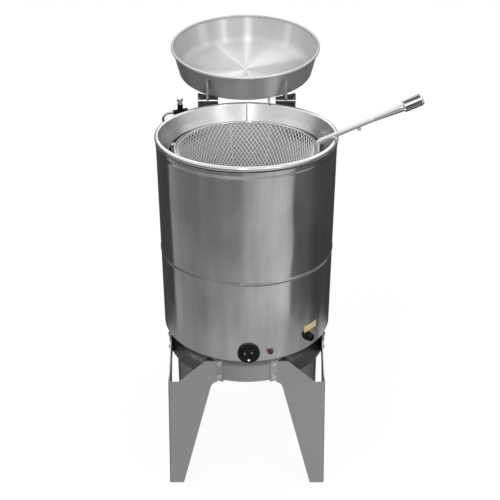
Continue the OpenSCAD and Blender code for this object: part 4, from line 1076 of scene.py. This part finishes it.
@dataclass
class Basket:
    """Wire basket: a fine wall net in two layers, ribs, a bottom net, ring, hoop and fluted grip."""

    ring_r: float = 158.0*MM
    ring_wire: float = 3.0*MM
    ring_z: float = 810.0*MM
    ring_segments: int = 192
    ring_sides: int = 16
    hoop_r: float = 113.0*MM
    hoop_wire: float = 2.0*MM
    hoop_z: float = 705.0*MM
    hoop_segments: int = 128
    hoop_sides: int = 12
    net_wire: float = 1.0*MM
    net_count: int = 84
    net_twist: float = 36.0
    net_steps: int = 10
    net_sides: int = 6
    floor_pitch: float = 12.0*MM
    floor_steps: int = 4
    rib_count: int = 10
    rib_wire: float = 1.6*MM
    rib_start: float = 105.0
    rib_top: tuple = (157.6*MM, 806.85*MM)
    rib_low: tuple = (116.97*MM, 705.0*MM)
    rib_steps: int = 8
    rib_sides: int = 8
    grip_at: tuple = (333.9*MM, -36.0*MM, 915.9*MM)
    grip_slope: float = 24.0
    grip_r: float = 13.0*MM
    grip_end_r: float = 12.0*MM
    grip_l: float = 44.0*MM
    grip_round: float = 2.0*MM
    grip_land: float = 4.0*MM
    grip_dome: float = 4.0*MM
    grip_segments: int = 144
    flute_count: int = 6
    flute_at: float = 14.8*MM
    flute_r: float = 4.5*MM
    lining_span: tuple = (124.0, 236.0)
    lining_points: int = 13
    lining_gap: float = 0.03*MM
    lining_t: float = 0.5*MM
    lining_start: float = 3.0*MM

    def wires(self, paths: np.ndarray, radius: float, sides: int) -> Surface:
        """Returns round wires along paths that stand round the basket's axis."""
        return sweep_wires(paths, radius, sides, paths*np.asarray([1.0, 1.0, 0.0]))

    def wall_net(self) -> None:
        """Wall net: two layers of wires that lean opposite ways.

        At the share s of the way down, wire i lies at the angle start + i step + lean s, on a radius and a
        height that go evenly from the ring to the hoop.
        """
        s = np.linspace(0.0, 1.0, self.net_steps)[None, :]
        start = np.linspace(0.0, TURN, self.net_count, endpoint=False)[:, None]
        top = self.ring_r - self.ring_wire - self.net_wire
        z = self.ring_z + (self.hoop_z + self.hoop_wire - self.ring_z)*s
        parts = []
        for lean in (-1.0, 1.0):
            angle = start + lean*math.radians(self.net_twist)*s
            inset = (1.0 - lean)*self.net_wire
            radius = top + (self.hoop_r - top)*s - inset
            layer = np.broadcast_arrays(radius*np.cos(angle), radius*np.sin(angle), z)
            parts.append(np.stack(layer, axis=-1))
        net = self.wires(np.concatenate(parts), self.net_wire, self.net_sides)
        piece = make_piece("basket_net", net, NET, Body.BASKET, ROUND_CREASE_DEG)
        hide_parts("basket_wires")

    def floor_net(self) -> None:
        """Bottom net: straight wires both ways across the hoop, cut to chords of its circle."""
        reach = self.hoop_r - self.hoop_wire
        count = int(reach/self.floor_pitch)
        offset = np.arange(-count, count + 1)*self.floor_pitch
        half = np.sqrt(np.maximum(reach**2 - offset**2, 0.0))
        along = half[:, None]*np.linspace(-1.0, 1.0, self.floor_steps)[None, :]
        across = np.broadcast_to(offset[:, None], along.shape)
        low = np.full(along.shape, self.hoop_z - self.net_wire)
        high = np.full(along.shape, self.hoop_z + self.net_wire)
        paths = np.concatenate([np.stack([along, across, low], axis=-1),
                                np.stack([across, along, high], axis=-1)])
        net = sweep_wires(paths, self.net_wire, self.net_sides, np.asarray([0.0, 0.0, 1.0]))
        hoop = torus(self.hoop_r, self.hoop_wire, self.hoop_z, self.hoop_segments, self.hoop_sides)
        piece = make_piece("basket_floor_net", net.joined(hoop), NET, Body.BASKET,
                           ROUND_CREASE_DEG)
        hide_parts("basket_bottom")

    def ring(self) -> None:
        """Top ring of the basket."""
        ring = torus(self.ring_r, self.ring_wire, self.ring_z, self.ring_segments, self.ring_sides)
        piece = make_piece("basket_hoop", ring, WIRE, Body.BASKET)
        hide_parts("basket_ring")

    def ribs(self) -> None:
        """Ribs: straight wires outside the net, evenly round it, from under the ring down to the hoop."""
        angle = (np.radians(self.rib_start) + np.arange(self.rib_count)*TURN/self.rib_count)[:, None]
        s = np.linspace(0.0, 1.0, self.rib_steps)
        radius = self.rib_top[0] + (self.rib_low[0] - self.rib_top[0])*s
        z = self.rib_top[1] + (self.rib_low[1] - self.rib_top[1])*s
        paths = np.stack(np.broadcast_arrays(radius*np.cos(angle), radius*np.sin(angle), z), axis=-1)
        ribs = self.wires(paths, self.rib_wire, self.rib_sides)
        piece = make_piece("basket_rib_wires", ribs, WIRE, Body.BASKET, ROUND_CREASE_DEG)
        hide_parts("basket_ribs")

    def grip_turn(self) -> np.ndarray:
        """Matrix that turns +Z along the sloping handle.

        Returns:
            The 3 by 3 matrix.
        """
        c = math.cos(math.radians(90.0 - self.grip_slope))
        s = math.sin(math.radians(90.0 - self.grip_slope))
        return np.asarray([[c, 0.0, s], [0.0, 1.0, 0.0], [-s, 0.0, c]])

    def grip_outline(self) -> np.ndarray:
        """Half outline of the grip before it is fluted: a small round, a slight taper and a domed end.

        Returns:
            Points (r, z) from the middle of its start to the middle of its end.
        """
        start = (self.grip_r - self.grip_round, self.grip_round)
        end = (self.grip_end_r - self.grip_dome, self.grip_l - self.grip_dome)
        middle_r = (self.grip_r + self.grip_end_r)/2.0
        return np.concatenate([
            [[0.0, 0.0]],
            arc(start, self.grip_round, -90.0, 0.0, 6),
            [[self.grip_r, self.grip_land], [middle_r, self.grip_l/2.0]],
            arc(end, self.grip_dome, 0.0, 90.0, 8),
            [[0.0, self.grip_l]]])

    def grip(self) -> None:
        """Fluted grip: a turned shape cut back by round flutes.

        A flute is a circle of radius f with its centre at the distance d from the axis. At the angle b from
        its middle it cuts the grip back to d cos b - sqrt(f^2 - (d sin b)^2).
        """
        solid = turn_solid(self.grip_outline(), self.grip_segments)
        step = TURN/self.flute_count
        x, y = solid.points[:, :2].T
        bend = (np.arctan2(y, x) % step) - step/2.0
        half = self.flute_r**2 - (self.flute_at*np.sin(bend))**2
        depth = self.flute_at*np.cos(bend) - np.sqrt(np.maximum(half, 0.0))
        cut = np.where(half > 0.0, depth, self.grip_r)
        radius = np.hypot(x, y)
        solid.points[:, :2] *= (np.minimum(radius, cut)/np.maximum(radius, 1e-9))[:, None]
        piece = make_piece("grip_ridges", solid.placed(self.grip_turn(), self.grip_at), TUBE, Body.BASKET)
        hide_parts("basket_grip")

    def grip_linings(self) -> None:
        """Dark lining in each flute: a thin curved strip along the flute, just clear of its circle."""
        around = np.radians(np.linspace(*self.lining_span, self.lining_points))
        ring_a = np.concatenate([around, around[::-1]])
        ring_r = self.flute_r - np.repeat([self.lining_gap, self.lining_t], self.lining_points)
        flat_x = self.flute_at + ring_r*np.cos(ring_a)
        flat_y = ring_r*np.sin(ring_a)
        turns = ((np.arange(self.flute_count) + 0.5)*TURN/self.flute_count)[:, None, None]
        x = np.cos(turns)*flat_x - np.sin(turns)*flat_y
        y = np.sin(turns)*flat_x + np.cos(turns)*flat_y
        z = np.asarray([self.lining_start, self.grip_l - self.grip_dome])[:, None]
        strips = loft(np.stack(np.broadcast_arrays(x, y, z), axis=-1))
        make_piece("grip_flute_linings", strips.placed(self.grip_turn(), self.grip_at), GRIP, Body.BASKET)

    def build(self) -> None:
        """Builds the basket's pieces."""
        self.wall_net()
        self.floor_net()
        self.ring()
        self.ribs()
        self.grip()
        self.grip_linings()


@dataclass
class Basin:
    """Tilted draining basin, spun from one disc, with a rolled lip."""

    centre: tuple = (-3.6*MM, 356.0*MM, 878.5*MM)
    tilt_deg: float = 9.0
    top_r: float = 182.1*MM
    foot_r: float = 167.0*MM
    depth: float = 69.0*MM
    corner: float = 5.0*MM
    inner_corner: float = 24.0*MM
    corner_steps: int = 14
    floor_steps: int = 8
    wall: float = 1.2*MM
    lip_d: float = 7.0*MM
    lip_sides: int = 20
    crease: float = 24.0
    segments: int = 224

    def side(self, inset: float, corner: float) -> np.ndarray:
        """Half outline of the pan at one side of its sheet: a floor corner and the flared wall.

        Args:
            inset: Distance from the outside of the sheet.
            corner: Radius of the corner at that distance.

        Returns:
            Points from the floor up to the lip.
        """
        flare = math.atan((self.top_r - self.foot_r)/self.depth)
        foot = self.foot_r + inset*math.tan(flare) - inset/math.cos(flare)
        centre = (foot + math.tan(flare)*corner - corner/math.cos(flare), inset + corner)
        top = [[self.top_r - inset/math.cos(flare), self.depth - self.lip_d/2.0]]
        return np.concatenate([arc(centre, corner, -90.0, -math.degrees(flare), self.corner_steps), top])

    def build(self) -> None:
        """Builds the pan and its rolled lip, turned round one axis and tilted forward together."""
        floor = np.linspace(0.0, 1.0, self.floor_steps)[:, None]
        outer = self.side(0.0, self.corner)
        inner = self.side(self.wall, self.inner_corner)[::-1]
        under = floor[:-1]*outer[0]
        upper = inner[-1] + floor[1:]*(np.asarray([0.0, self.wall]) - inner[-1])
        pan = turn_solid(np.concatenate([under, outer, inner, upper]), self.segments)
        lip = torus(self.top_r, self.lip_d/2.0, self.depth - self.lip_d/2.0, self.segments, self.lip_sides)
        c = math.cos(math.radians(self.tilt_deg))
        s = math.sin(math.radians(self.tilt_deg))
        turn = np.asarray([[1.0, 0.0, 0.0], [0.0, c, -s], [0.0, s, c]])
        for name, surface, finish in (("basin_pan_shell", pan, SPUN), ("basin_lip", lip, LIP)):
            piece = make_piece(name, surface.placed(turn, self.centre), finish, Body.BASIN,
                               self.crease)
            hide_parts("basin")


@dataclass(frozen=True)
class Mark:
    """Round mark on the knob's face: its radius, its way down and right of the middle, and its finish."""

    name: str
    radius: float
    down: float
    right: float
    finish: Finish


@dataclass
class Controls:
    """Marks on the thermostat's knob, each a low dome given by shares of its radius and by heights. The
    pointer dot is print; the two grey dots are painted highlights.
    """

    azimuth: float = -88.6
    face_r: float = 219.0*MM
    knob_z: float = 395.5*MM
    dome_shares: tuple = (0.0, 1.0, 1.0, 0.85, 0.5, 0.0)
    dome_heights: tuple = (-0.3*MM, -0.3*MM, 0.1*MM, 0.3*MM, 0.42*MM, 0.45*MM)
    dome_segments: int = 24
    marks: tuple = (Mark("knob_pointer_dot", 2.8*MM, 7.0*MM, 0.0, MARK),
                    # Painted highlights: the two grey dots stand in for glints on the knob.
                    Mark("knob_left_painted_glint", 1.8*MM, -10.5*MM, -9.5*MM, PAINTED_GLINT),
                    Mark("knob_right_painted_glint", 1.8*MM, -12.5*MM, 6.8*MM, PAINTED_GLINT))

    def build(self) -> None:
        """Builds each mark on the knob's face."""
        turn = radial_turn(self.azimuth)
        for mark in self.marks:
            outline = np.stack([mark.radius*np.asarray(self.dome_shares), self.dome_heights], axis=1)
            spot = turn @ np.asarray([mark.down, mark.right, self.face_r])
            at = spot + np.asarray([0.0, 0.0, self.knob_z])
            dome = turn_solid(outline, self.dome_segments).placed(turn, at)
            make_piece(mark.name, dome, mark.finish, Body.KNOB)


def dress_nodes(nodes: dict, subparts: Iterable[dict]) -> None:
    """Gives every CAD node the finish of its record slot, or its own.

    Args:
        nodes: Node name to object.
        subparts: The record's nodes with their material slots.
    """
    slots = {row["node"]: row["material_slot"] for row in subparts}
    for name, node in nodes.items():
        finish = NODE_FINISH.get(name, SLOT_FINISH[slots[name]])
        for place in node.material_slots:
            place.material = finish.material()
        LOG.info("dressed %s with %s", name, finish.name)


def main() -> None:
    """Builds the studio and every piece."""
    logging.basicConfig(level=logging.INFO)
    Studio().build()
    dress_nodes(frame["nodes"], frame["record"]["subparts"])
    for part in (Vessel(), Basket(), Basin(), Controls()):
        part.build()


if __name__ == "__main__":
    main()
